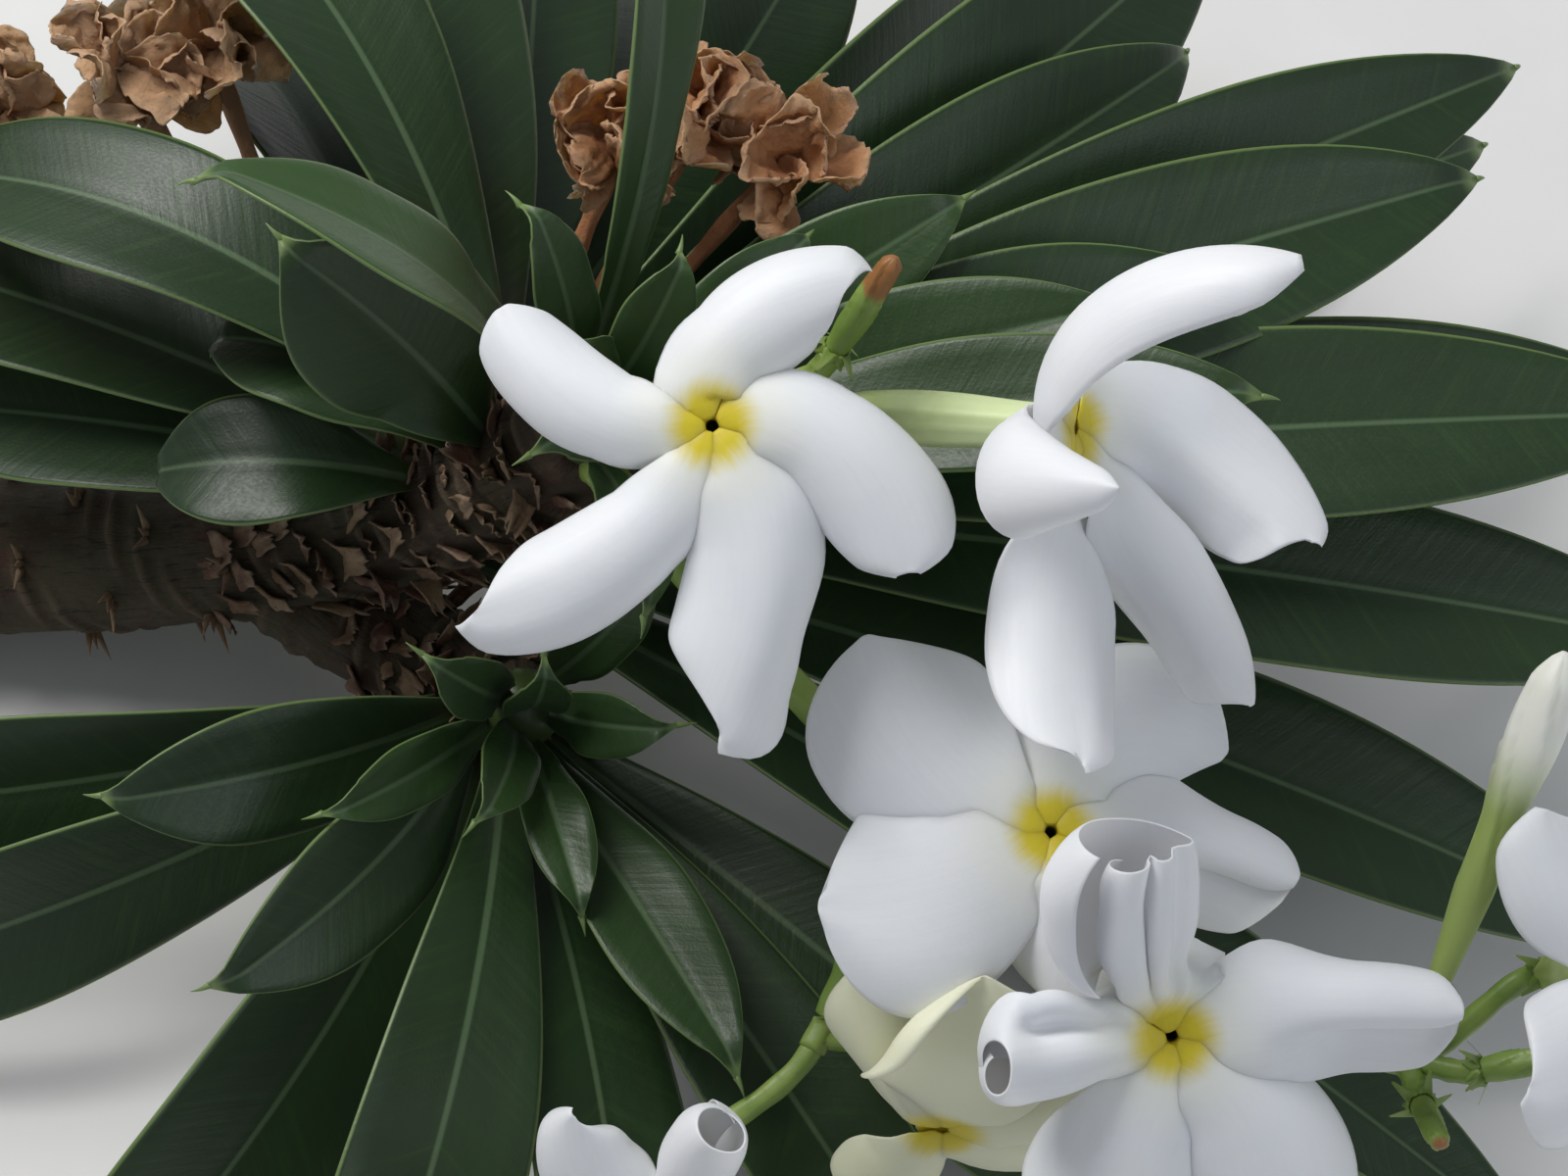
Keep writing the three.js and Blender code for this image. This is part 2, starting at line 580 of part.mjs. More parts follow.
// A dry stalk with crumpled heads at its end
function drySolid(blossom) {
  const parts = [];
  const foot = vector(blossom.foot);
  blossom.heads.forEach((spot, n) => {
    const head = vector(spot);
    const middle = foot.clone().lerp(head, CRUMPLE.stalkBend);
    middle.z -= CRUMPLE.stalkSag;
    const curve = new THREE.CubicBezierCurve3(
      foot, foot.clone().lerp(middle, CRUMPLE.stalkBend), middle, head);
    parts.push(tube(curve, () => CRUMPLE.stalk, CRUMPLE.stalkSides, CRUMPLE.stalkSteps));
    parts.push(solid(new THREE.IcosahedronGeometry(CRUMPLE.core, 0).translate(...spot)));
    for (let k = 0; k < CRUMPLE.petals; k++) {
      const seed = n * 7 + k + head.x;
      const petal = [
        (360 / CRUMPLE.petals) * k + CRUMPLE.turnSpread * wobble(seed, 1),
        CRUMPLE.sweepSpread * wobble(seed, 2),
        blossom.radius * (1 + CRUMPLE.sizeSpread * wobble(seed, 3)),
        blossom.radius * CRUMPLE.width,
        CRUMPLE.arch,
        CRUMPLE.liftFoot + CRUMPLE.liftFootSpread * wobble(seed, 4),
        CRUMPLE.liftTip + CRUMPLE.liftTipSpread * wobble(seed, 5),
        CRUMPLE.rollSpread * wobble(seed, 6),
      ];
      const grid = petalGrid(petal, CRUMPLE.stations, CRUMPLE.columns, CRUMPLE.root);
      const aim = new THREE.Vector3(
        CRUMPLE.aimAcross * wobble(seed, 7), CRUMPLE.aimBack + CRUMPLE.aimSpread * wobble(seed, 8), 1);
      const turn = new THREE.Quaternion().setFromUnitVectors(new THREE.Vector3(0, 0, 1), aim.normalize());
      const matrix = new THREE.Matrix4().makeRotationFromQuaternion(turn).setPosition(head);
      parts.push(sheetSolid(grid, CRUMPLE.thickness).transform(matrix.elements));
    }
  });
  return fuse(parts);
}

const materials = {
  stem: new THREE.MeshStandardMaterial({ color: '#5e5238', roughness: 0.85, metalness: 0 }),
  leaf: new THREE.MeshStandardMaterial({ color: '#23451f', roughness: 0.42, metalness: 0 }),
  stalk: new THREE.MeshStandardMaterial({ color: '#7f9a3f', roughness: 0.5, metalness: 0 }),
  petal: new THREE.MeshStandardMaterial({ color: '#eef0f2', roughness: 0.55, metalness: 0 }),
  dry: new THREE.MeshStandardMaterial({ color: '#b07a4a', roughness: 0.9, metalness: 0 }),
};

const branch = new THREE.Group();

function place(name, body, material, matrix = new THREE.Matrix4()) {
  const { vertProperties, triVerts } = body.getMesh();
  const geometry = new THREE.BufferGeometry();
  geometry.setAttribute('position', new THREE.BufferAttribute(vertProperties, 3));
  geometry.setIndex(new THREE.BufferAttribute(triVerts, 1));
  geometry.computeVertexNormals();
  const mesh = new THREE.Mesh(geometry, material);
  mesh.name = name;
  mesh.applyMatrix4(matrix);
  branch.add(mesh);
}

const thickStem = stemSolid(GAP);
const thickShoot = limbs.shoot.body(GAP);
const thickStalks = fuse(Object.values(STALKS).map((rows) => stalkSolid(rows, GAP)));

place('stem', stemSolid(0), materials.stem);
place('side_shoot', largest(limbs.shoot.body(0).subtract(thickStem)), materials.stem);
let clearStalk = null;
for (const [name, rows] of Object.entries(STALKS)) {
  const body = stalkSolid(rows, 0).subtract(thickStem);
  place(name, clearStalk ? largest(body.subtract(clearStalk)) : largest(body), materials.stalk);
  clearStalk = stalkSolid(rows, GAP);
}
for (const [name, flower] of Object.entries(FLOWERS)) {
  const matrix = flowerMatrix(flower);
  place(name, flowerSolid(flower, matrix), materials.petal, matrix);
}
for (const [name, bud] of Object.entries(BUDS)) {
  place(name, budSolid(bud), name.startsWith('bud') ? materials.stalk : materials.petal);
}
for (const [name, blossom] of Object.entries(DRY_BLOSSOMS)) {
  place(name, largest(drySolid(blossom).subtract(thickStem)), materials.dry);
}
for (const [name, heart] of Object.entries(HEARTS)) {
  place(name, largest(heartSolid(heart).subtract(thickStalks)), materials.leaf);
}

for (const [name, [limb, back, tip, rise, width, roll]] of Object.entries(LEAVES)) {
  const leaf = rootLeaf(limb, back, vector(tip), rise, width, roll);
  place(name, largest(leafSolid(leaf, 0).subtract(thickStem).subtract(thickShoot)), materials.leaf);
}

// The origin goes on the floor below the middle of the whole branch
const box = new THREE.Box3().setFromObject(branch, true);
const middle = box.getCenter(new THREE.Vector3());
for (const mesh of branch.children) mesh.position.add(new THREE.Vector3(-middle.x, -middle.y, -box.min.z));

export default branch;
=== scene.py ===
"""Cut flowering branch of a Madagascar palm: the finished look around its solid frame.

Lengths in the tables below are millimetres in the branch's drawing, where the floor is z = 0.
"""
import json
import math

import bpy
import numpy as np
from bpy.props import FloatProperty, FloatVectorProperty, IntProperty, PointerProperty
from mathutils import Matrix, Vector


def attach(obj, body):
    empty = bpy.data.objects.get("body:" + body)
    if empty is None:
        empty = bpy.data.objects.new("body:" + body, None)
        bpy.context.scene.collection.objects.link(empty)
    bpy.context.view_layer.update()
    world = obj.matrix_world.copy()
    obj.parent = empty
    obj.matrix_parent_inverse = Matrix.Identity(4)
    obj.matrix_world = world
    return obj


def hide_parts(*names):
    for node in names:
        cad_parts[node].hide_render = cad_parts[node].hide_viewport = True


bl_info = {
    "name": "Flowering Palm Branch",
    "version": (1, 0, 0),
    "blender": (4, 5, 0),
    "location": "View3D > Sidebar > Branch",
    "description": "Dresses a cut flowering branch: bark, leathery leaves, white blooms, dry blossoms",
    "category": "Object",
}

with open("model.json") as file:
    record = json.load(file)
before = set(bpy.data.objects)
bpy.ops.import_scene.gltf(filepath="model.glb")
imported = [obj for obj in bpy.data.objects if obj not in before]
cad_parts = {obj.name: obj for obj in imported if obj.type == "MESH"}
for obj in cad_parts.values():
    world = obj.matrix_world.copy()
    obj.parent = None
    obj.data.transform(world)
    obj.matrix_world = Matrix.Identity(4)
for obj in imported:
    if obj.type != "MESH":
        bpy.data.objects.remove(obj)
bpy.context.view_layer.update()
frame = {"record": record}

MM = 0.001
GOLDEN_ANGLE = 137.508
# Three numbers that scatter the small differences between leaves, petals and leaf bases
SCATTER = (12.9898, 78.233, 43758.5453)

# The stem, cut square at its left end, and the side shoot that forks off below its tip
STEM = dict(points=[(-245, 96, 19), (-165, 96, 19), (-85, 80, 30), (-34, 59, 128)], foot=19, tip=12.5)
SHOOT = dict(points=[(-103, 80, 46), (-84, 66, 34), (-56, 53, 40), (-51, 38, 58)], foot=14, tip=10)

# The bark's leaf scars and ridges, and the rings that close a limb's two ends
SCARS = dict(spacing=3.9, round=2.5, rate=0.42, power=1.5, height=1.1, ridge=0.5, sunk=0.9, floor_gap=0.05,
             close_from=0.975, close=0.9)
CUT_DISCS = (1.0, 0.93, 0.6, 0.25, 0.02)
# Dry leaf bases, and the spines that stand in threes
STUB = dict(rows=12, columns=9, tilt=0.2, lean=36, lean_spread=20, bend=0.3, cup=0.45, half_thickness=0.3,
            sunk=1.6, floor_gap=6, shoot_end=52, length=7.2, length_spread=2.6, width=7.5, width_spread=2)
SPINE = dict(threes=34, first=104, spacing=3.9, lean=0.5, middle=0.62, radii=(0.95, 0.08), rings=6,
             floor_gap=3)

# A leaf's outline and bend, the section of its blade, and the hard little point at its end
LEAF = dict(foot_share=0.15, swell_end=0.6, swell_power=1.25, close_power=2.3, fold=0.16, sunk=3,
            roll_speed=3, hook_start=0.93, hook_drop=4)
BLADE = dict(row_power=0.9, column_power=1.25, least_half=0.25, waves=2.3, droop=0.5, droop_from=0.8,
             droop_half=4, fold_power=1.4, groove=0.35, groove_width=0.8, margin_body=0.55, inner_body=0.45,
             keel=1.5, keel_width=1.5, keel_fade=0.7, lift=0.2)
LEAF_TIP = dict(least_leaf=30, rings=7, length=3.4, sunk=0.8, drop=2.2, radii=(0.75, 0.08))

# One row a leaf: limb, distance below its tip, the leaf's own tip, rise, width, roll
LEAVES = {
    "leaf_a01": ("stem", 9, (-101, 74, 189), 18, 30, 35),
    "leaf_a02": ("stem", 26, (-88, 70, 168), 4, 34, -50),
    "leaf_a03": ("stem", 6, (-34, 190, 178), 30, 20, 25),
    "leaf_a04": ("stem", 38, (-109, 86, 115), 12, 27, 0),
    "leaf_a05": ("stem", 50, (-121, 69, 94), 10, 26, 0),
    "leaf_a06": ("stem", 32, (-172, 122, 116), 25.2, 34, 0),
    "leaf_a07": ("stem", 58, (-176, 96, 76), 5.6, 32, 0),
    "leaf_a08": ("stem", 9, (86, 56, 144), 4, 26, 0),
    "leaf_a09": ("stem", 20, (61, 75, 143), 4, 26, 0),
    "leaf_a10": ("stem", 27, (83, 97, 121), 12, 28, 0),
    "leaf_a11": ("stem", 25, (34, 100, 141), 5.6, 24, 0),
    "leaf_a12": ("stem", 33, (137, 130, 106), 14, 38, 0),
    "leaf_a13": ("stem", 40, (150, 168, 91), 16, 36, 0),
    "leaf_a14": ("stem", 49, (84, 172, 91), 16, 36, 0),
    "leaf_a15": ("stem", 36, (178, 84, 92), 8.4, 38, 0),
    "leaf_a16": ("stem", 46, (188, 50, 56), 14, 38, 0),
    "leaf_a17": ("stem", 36, (-104, 232, 120), 20, 42, 0),
    "leaf_a18": ("stem", 48, (-52, 236, 104), 8, 38, 0),
    "leaf_a19": ("stem", 54, (-218, 132, 88), 12, 38, 0),
    "leaf_a20": ("stem", 28, (-150, 212, 126), 32.4, 40, 0),
    "leaf_a21": ("stem", 65, (16, 240, 68), 8.8, 40, 0),
    "leaf_a22": ("stem", 54, (92, 214, 84), 22, 42, 0),
    "leaf_a23": ("stem", 58, (150, 178, 50), 12.6, 40, 0),
    "leaf_a24": ("stem", 54, (186, 120, 40), 16, 40, 0),
    "leaf_a25": ("stem", 60, (176, 2, 20), 16, 38, 0),
    "leaf_a26": ("stem", 66, (150, -60, 10), 14, 36, 0),
    "leaf_a27": ("stem", 62, (-160, 220, 60), 28, 42, 0),
    "leaf_a28": ("stem", 69, (-40, 250, 50), 22, 42, 0),
    "leaf_a29": ("stem", 61, (60, 236, 40), 22, 42, 0),
    "leaf_a30": ("stem", 82, (-226, 180, 50), 18, 40, 0),
    "leaf_a31": ("stem", 82, (140, 216, 14), 7.2, 42, 0),
    "leaf_b01": ("shoot", 13, (-226, -6, 10), 16, 36, 0),
    "leaf_b02": ("shoot", 11, (-150, -92, 10), 18, 44, 0),
    "leaf_b03": ("shoot", 8, (-8, -40, 62), 3.2, 22, 0),
    "leaf_b04": ("shoot", 11, (-28, -112, 10), 16, 34, 0),
    "leaf_b05": ("shoot", 3, (-92, -118, 16), 25.2, 36, 0),
    "leaf_b06": ("shoot", 17, (-222, 28, 34), 12, 34, 0),
    "leaf_b07": ("shoot", 10, (40, -90, 12), 12, 32, 0),
    "leaf_b08": ("shoot", 15, (80, -60, 10), 12, 32, 0),
    "leaf_b09": ("shoot", 9, (-104, -30, 74), 10, 26, 0),
    "leaf_b10": ("shoot", 9, (-126, 4, 84), 8, 26, 0),
}
# How light a leaf's green is, where it differs from the usual. A low tone keeps a blade in the deep greens,
# which are partly painted shade; the lighter tones are partly young green and partly painted light.
USUAL_TONE = 0.3
LEAF_TONE = {"leaf_a01": 1.0, "leaf_a02": 0.6, "leaf_a03": 0.75, "leaf_a08": 0.6, "leaf_a11": 0.7,
             "leaf_a09": 0.6, "leaf_b03": 0.55}

HEARTS = {
    "heart_a": dict(limb="stem", aside=(-2.1, 2.1), leaves=8, radius=7, turn=80, lean=38, length=50,
                    width=14),
    "heart_b": dict(limb="shoot", aside=(0, 0), leaves=7, radius=8, turn=10, lean=30, length=52, width=13),
}
HEART = dict(foot_spread=0.72, shortest=0.6, lean_least=0.5, rise_share=0.08, sunk=1, seat=0.35,
             first_seed=40, tone=0.7, thickness=0.8, knob_rings=12)

# The side that carries the flowers looks up and forward
FACE_TILT = math.radians(60)
ACROSS = np.array((1.0, 0.0, 0.0))
UPWARD = np.array((0.0, math.sin(FACE_TILT), math.cos(FACE_TILT)))
OUTWARD = np.array((0.0, -math.cos(FACE_TILT), math.sin(FACE_TILT)))

PETAL = dict(root=4.2, sunk=2, widest=0.62, wide_power=1.1, lift_power=0.8, bend_least=0.25, bend_speed=2.2,
             row_power=1.35, column_power=1.2, least_half=0.6, curl_start=0.2, curl_power=1.6, fold_fade=0.7,
             crease=0.14, margin_thin=0.7, end_thin=0.6, least_thickness=0.2)
RIPPLE = dict(rate=8.5, slant=2.4, valley=0.3, valley_width=0.16, valley_shift=0.1)
TUBE = dict(foot=2.4, belly=2.1, belly_power=0.8, neck=3, mouth=4.9, mouth_power=14, depth=3.1, pull=0.4,
            rows=40, sides=40, rib_depths=(0.05, 0.03))
THROAT = dict(hole=1.25, half=1.2, dip=1.1, rows=6, dip_power=1.5, slopes=(0.9, 0.2), widening=1.02)
# The throat inside the tube's mouth: radius, height, and 1 on the yellow disc up to 2 in the hole, which is
# painted dark as shade
THROAT_RINGS = ((4.4, 0, 1), (3.6, -0.1, 1), (2.6, -0.25, 1), (1.8, -0.4, 1), (1.3, -0.7, 1),
                (1.05, -1.3, 1.6), (0.95, -3, 2), (0.8, -6, 2))

# Sections of rolled petals: places across, from the right margin to the left one, each with its slope in
# degrees
FOLDED_EDGE = ((-1, -12), (-0.46, -24), (-0.38, -140), (-0.28, -90), (0, 0), (0.5, 80), (1, 150))
DOUBLE_ROLL = (
    (-1, -345), (-0.86, -300), (-0.7, -250), (-0.54, -205), (0.04, -150), (0.08, -80), (0.14, -5),
    (0.22, -20), (0.27, -125), (0.32, -60), (0.4, 10), (0.46, 105), (0.53, -125), (0.6, -50), (0.75, 30),
    (0.9, 110), (1, 170),
)
ROLL_WITH_RIDGE = ((-1, -215), (-0.74, -200), (-0.58, -120), (-0.34, 70), (-0.22, -100), (0, 0), (0.33, 90),
                   (1, 250))
SINGLE_ROLL = ((-1, -190), (-0.5, -100), (0, 0), (0.5, 100), (1, 220))


def petal(heading, sweep, length, width, arch, lift, **shape):
    """One petal: where it starts, how it swings round, its size, its arch and its lift at foot and tip.

    The rest says how it differs from a plain one: tip_arch, tip (its end's share of the width), skew (how
    much longer its left side is), curl (how far each margin rolls under, left and right), twist, fold
    (place across and angle of a sharp fold), wave, round (share of the length that rounds its corners),
    foot (its foot's share of the width), swing (below 1 it swings round early), close (how late it tapers),
    bulge (how far the middle of its end stands out), sections (shares of its length with a rolled
    section each, reached step by step from rolls on), middle (the place across that lies on its line)
    and blunt (the share of its width left at its rounded end).
    """
    usual = dict(tip_arch=arch, tip=0.45, skew=0.0, curl=(0, 0), twist=0, fold=(0, 0), wave=0.4, round=0.06,
                 foot=0.34, swing=0.7, close=2.6, bulge=0.3, sections=(), rolls=0.0, middle=0, blunt=0.4)
    given = dict(heading=heading, sweep=sweep, length=length, width=width, arch=arch, lift=lift)
    return given | usual | shape


# A flower: throat centre, facing (across, upward, outward), foot of its tube, the foot's aim, petals
FLOWERS = {
    "flower_1": dict(
        centre=(-12.1, 23.7, 183.7), facing=(0, 0.03, 1), foot=(-12, 44.7, 147.3), aim=(0, -0.4, 0.9),
        petals=[
            petal(190, -76, 41, 28, 84, (6, -18), tip_arch=90, tip=0.7, skew=-0.6, curl=(25, 15),
                  round=0.09),
            petal(114, -104, 34, 31, 84, (11, -4), tip_arch=98, tip=0.72, skew=5, curl=(10, 30),
                  foot=0.5, swing=0.35),
            petal(26, -106, 45, 29, 66, (9, -13), tip_arch=50, tip=0.5, curl=(15, 25), swing=0.5,
                  foot=0.42, bulge=-0.8),
            petal(-51, -71, 52, 34, 52, (5, -13), tip_arch=34, tip=0.2, skew=3, fold=(0.05, 42),
                  round=0.03),
            petal(-105, -63, 50, 27, 74, (6, -12), tip_arch=56, tip=0.42, skew=4, curl=(20, 15),
                  swing=0.54),
        ]),
    "flower_2": dict(
        centre=(52, 29.5, 173.2), facing=(0.9, -0.05, 0.42), foot=(3.4, 44.1, 153.9), aim=(0.92, -0.2, 0.3),
        petals=[
            petal(167, -78, 76, 37, -66, (-14, 104), tip_arch=-105, tip=0.32, skew=2, curl=(-20, -30),
                  foot=0.5),
            petal(203, -27, 72, 30, -60, (-46, 92), tip_arch=-120, tip=0.1, close=1.7, curl=(-50, -50),
                  foot=0.5),
            petal(283, -44, 56, 28, 36, (-14, 26), tip_arch=16, tip=0.1, close=1.6, skew=2, twist=62,
                  fold=(0.35, 40)),
            petal(-32, -79, 55, 30, 56, (19, 40), tip_arch=56, tip=0.5, twist=36, fold=(-0.2, -60),
                  round=0.26, bulge=1.5, blunt=0.25),
            petal(26, -119, 51, 31, 40, (19, 59), tip_arch=24, tip=0.14, close=1.8, skew=2, twist=30,
                  fold=(-0.1, -50)),
        ]),
    "flower_3": dict(
        centre=(46.4, -24, 128.4), facing=(0.05, 0.2, 1), foot=(44.5, -11.8, 92.4), aim=(0, -0.35, 0.92),
        petals=[
            petal(164, -58, 44, 38, 30, (7, -1), tip_arch=44, tip=0.6, round=0.34, wave=0.7, bulge=1,
                  blunt=0.2),
            petal(222, -46, 39, 42, 30, (7, -4), tip_arch=30, tip=0.7, round=0.38, wave=1.2, bulge=1,
                  blunt=0.2),
            petal(-60, -50, 30, 30, 50, (0, -31), tip_arch=60, tip=0.5, round=0.1),
            petal(20, -48, 41, 40, 60, (1, -8), tip=0.7, sections=((0.7, FOLDED_EDGE),), rolls=0.25,
                  round=0.12, swing=0.35),
            petal(94, -130, 41, 34, 44, (6, -24), tip_arch=50, tip=0.55, round=0.2, bulge=2),
        ]),
    "flower_4": dict(
        centre=(66.4, -60.2, 120.2), facing=(0.02, -0.1, 1), foot=(65.6, -36.8, 87.7), aim=(0, -0.55, 0.83),
        petals=[
            petal(118, -36, 33, 76, 40, (26, 24), tip=0.94, middle=0.5, round=0.2, blunt=0.8, foot=0.16,
                  skew=-2.5, bulge=3, wave=1, sections=((0.3, DOUBLE_ROLL),)),
            petal(193, -16, 28, 64, 40, (30, 38), tip=0.58, round=0.2, blunt=0.85, foot=0.2, bulge=2,
                  wave=0.8,
                  sections=((0.35, ROLL_WITH_RIDGE), (0.7, ROLL_WITH_RIDGE), (1, SINGLE_ROLL))),
            petal(30, -36, 46, 38, 60, (12, -3), tip=0.7, sections=((0.65, FOLDED_EDGE),), rolls=0.2,
                  round=0.1, swing=0.3),
            petal(-33, -60, 44, 35, 58, (0, -16), tip_arch=50, tip=0.45, skew=2),
            petal(-102, -24, 41, 35, 58, (0, -11), tip_arch=50, tip=0.45, skew=2),
        ]),
    "flower_5": dict(
        centre=(28, -61.4, 79.1), facing=(-0.1, -0.8, 0.6), foot=(29, -35.4, 64.4), aim=(-0.1, -0.85, 0.5),
        petals=[
            petal(120, -18, 34, 24, 60, (0, -46), tip_arch=50, tip=0.7, round=0.34, wave=0.8, bulge=1,
                  blunt=0.2),
            petal(78, -8, 37, 40, 20, (14, -36), tip_arch=0, tip=0.6, round=0.34, curl=(-170, 20),
                  wave=1, bulge=1, blunt=0.2),
            petal(8, -20, 28, 28, 60, (4, -20), round=0.15),
            petal(-60, -20, 30, 28, 70, (-6, -30), round=0.15),
            petal(236, 0, 26, 26, 70, (14, 4), round=0.15),
        ]),
    "flower_6": dict(
        centre=(-18.9, -85.4, 81.4), facing=(-0.05, -0.35, 0.93), foot=(-17, -56, 57.3),
        aim=(-0.1, -0.8, 0.6),
        petals=[
            petal(150, -60, 31, 28, 60, (14, 0), tip_arch=90, skew=2, curl=(20, 60), round=0.16, blunt=0.3),
            petal(88, -28, 27, 46, 50, (24, 30), tip=0.86, round=0.2, blunt=0.8, foot=0.3, bulge=2,
                  wave=0.8,
                  sections=((0.4, SINGLE_ROLL),)),
            petal(4, -60, 42, 30, 70, (4, -12), tip_arch=74, skew=2),
            petal(-70, -50, 42, 31, 60, (0, -12), tip_arch=50, skew=2, tip=0.3),
            petal(222, -60, 42, 30, 70, (0, -12), tip_arch=74, skew=2),
        ]),
    "flower_7": dict(
        centre=(155, -41, 115), facing=(0.55, 0.15, 0.8), foot=(136, -33, 89), aim=(0.56, -0.27, 0.78),
        petals=[
            petal(165, -60, 33, 30, 60, (6, -4), tip_arch=50, skew=2, round=0.12),
            petal(92, -60, 40, 30, 70, (4, -6), tip_arch=74, skew=2),
            petal(20, -50, 42, 30, 70, (0, -12), tip_arch=74, skew=2),
            petal(-52, -50, 42, 31, 60, (0, -12), tip_arch=50, skew=2, tip=0.3),
            petal(237, -50, 38, 31, 56, (4, -8), tip_arch=44, skew=2, round=0.12),
        ]),
}
# How cream a bloom is: young ones are white, fading ones pale yellow
BLOOM_CREAM = {"flower_5": 1.0}

# Closed blooms and buds: foot, tip, greatest radius, share of the length at which it is widest
BUDS = {
    "flower_8": dict(foot=(114.8, -41.3, 100), tip=(134, 0, 148), radius=5.4, widest=0.76, neck=0.5),
    "bud_1": dict(foot=(8.5, 50.4, 164.5), tip=(19.2, 56.4, 185.3), radius=2.9, widest=0.45),
}
SMALL_BUDS = {
    "small_bud_1": dict(foot=(122, -53, 91), tip=(135, -53, 97), radius=2.8, widest=0.5),
    "small_bud_2": dict(foot=(112, -58, 90), tip=(114, -70, 98), radius=2.4, widest=0.5),
}
SPINDLE = dict(rows=48, sides=40, foot=2, neck_gain=1.6, power=1.4, folds=5, tail=0.03)

# Flower stalks: a trunk is its curve and two radii, a twig leaves the last trunk for a flower or bud
STALKS = {
    "flower_stalk_upper": [
        dict(curve=[(-27, 59.7, 124.8), (-24, 58, 132), (-18, 51, 134), (-12.5, 48, 140)], radii=(3.2, 2.6)),
        dict(at=0.9, to="flower_1"),
        dict(curve=[(-23.5, 57, 130.5), (-19, 57, 138), (-10, 57, 142), (-3, 54, 149)], radii=(2.8, 2.4)),
        dict(at=0.9, to="flower_2"),
        dict(at=0.95, to="bud_1"),
    ],
    "flower_stalk_lower": [
        dict(curve=[(-33.9, 50.4, 126.5), (-26, 36, 140), (40, -16, 40), (114, -50, 88)], radii=(3.6, 2.8)),
        dict(at=0.62, to="flower_3"),
        dict(at=0.72, to="flower_4"),
        dict(at=0.97, to="flower_8"),
        dict(at=0.96, to="flower_7"),
        dict(at=0.985, to="small_bud_1"),
        dict(at=0.96, to="small_bud_2"),
        dict(curve=[(15.3, 7.5, 93.5), (20, -4, 82), (14, -18, 64), (5, -34, 58)], radii=(2.8, 2.5)),
        dict(at=0.9, to="flower_5"),
        dict(at=0.97, to="flower_6"),
    ],
}
TWIG = dict(radius=2.1, pull=0.4, swell=0.18)
# The small scales round a twig's end
SCALE = dict(count=5, foot_out=1.7, foot_back=1.6, tip_out=2.9, tip_on=2.2, rise=0.5, width=3.2, tone=0.9,
             thickness=0.35)

# Withered blossoms: foot inside the stem, middles of the crumpled heads, their radius
DRY_BLOSSOMS = {
    "dry_blossom_1": dict(foot=(-62, 71, 86), heads=[(-31, 114, 136), (-15, 121, 138), (-1, 114, 132)],
                          radius=17, tone=0.1),
    "dry_blossom_2": dict(foot=(-78, 76, 68), heads=[(-110, 146, 124), (-126, 138, 130), (-150, 134, 120)],
                          radius=16, tone=0.75),
}
CRUMPLED = dict(rows=26, columns=23, lobes=13, width=0.56, deep=0.055, aside=0.03, half_thickness=0.16)
CREASES = dict(waves=7, rate=0.16, finer=1.42, weaker=1.3)

# The drawing's place in the frame comes from the cut end, which the frame has as a mount
CUT = next(mount for mount in frame["record"]["mounts"] if mount["name"] == "cut_end")
SHIFT = np.array(CUT["pos_m"]) - np.array(STEM["points"][0]) * MM

# The camera looks square at the side that carries the flowers, from this far above it
CAMERA = dict(aim=(0, 0, 170), distance=750, lens=102.94, sensor=36)
# The stage, in metres
FLOOR_REACH = 3.0
SKY_COLOUR = (0.86, 0.9, 0.98, 1.0)
LIGHT_AIM = (0.0, 0.0, 0.1)
KEY_LIGHT = dict(place=(-0.5, 0.42, 1.15), size=(0.8, 0.6), colour=(1.0, 0.985, 0.96))
FILL_LIGHT = dict(place=(0.9, -0.6, 0.7), size=(0.8, 0.8), colour=(0.9, 0.95, 1.0))


def unit(v):
    v = np.asarray(v, float)
    return v / np.linalg.norm(v, axis=-1, keepdims=True)


def mix(a, b, share):
    return a + (b - a) * share


def clamp(value):
    return np.clip(value, 0.0, 1.0)


def smoothstep(low, high, value):
    share = clamp((value - low) / (high - low))
    return share * share * (3 - 2 * share)


def wobble(seed, k):
    """A number from -1 to 1 that looks random and is always the same for the same two numbers."""
    value = math.sin(seed * SCATTER[0] + k * SCATTER[1]) * SCATTER[2]
    return 2 * (value - math.floor(value)) - 1


def crowded(columns, power):
    """Places from -1 to 1 that crowd towards both ends."""
    t = np.linspace(-1, 1, columns)
    return np.sign(t) * (1 - (1 - np.abs(t)) ** power)


def turned(v, axis, angle):
    """v turned about a unit axis; rows turn one by one."""
    v, axis = np.asarray(v, float), np.asarray(axis, float)
    angle = np.asarray(angle, float)[..., None] if np.ndim(angle) else angle
    dot = np.sum(v * axis, axis=-1, keepdims=True)
    return v * np.cos(angle) + np.cross(axis, v) * np.sin(angle) + axis * dot * (1 - np.cos(angle))


def sideways(direction):
    """Two directions square to a limb's own."""
    reference = np.array((0.0, 1.0, 0.0)) if abs(direction[1]) < 0.8 else np.array((1.0, 0.0, 0.0))
    first = unit(reference - direction * reference.dot(direction))
    return first, np.cross(direction, first)


def spoke(axis, degrees):
    """A direction square to an axis, so many degrees round it."""
    first, second = sideways(axis)
    angle = math.radians(degrees)
    return first * math.cos(angle) + second * math.sin(angle)


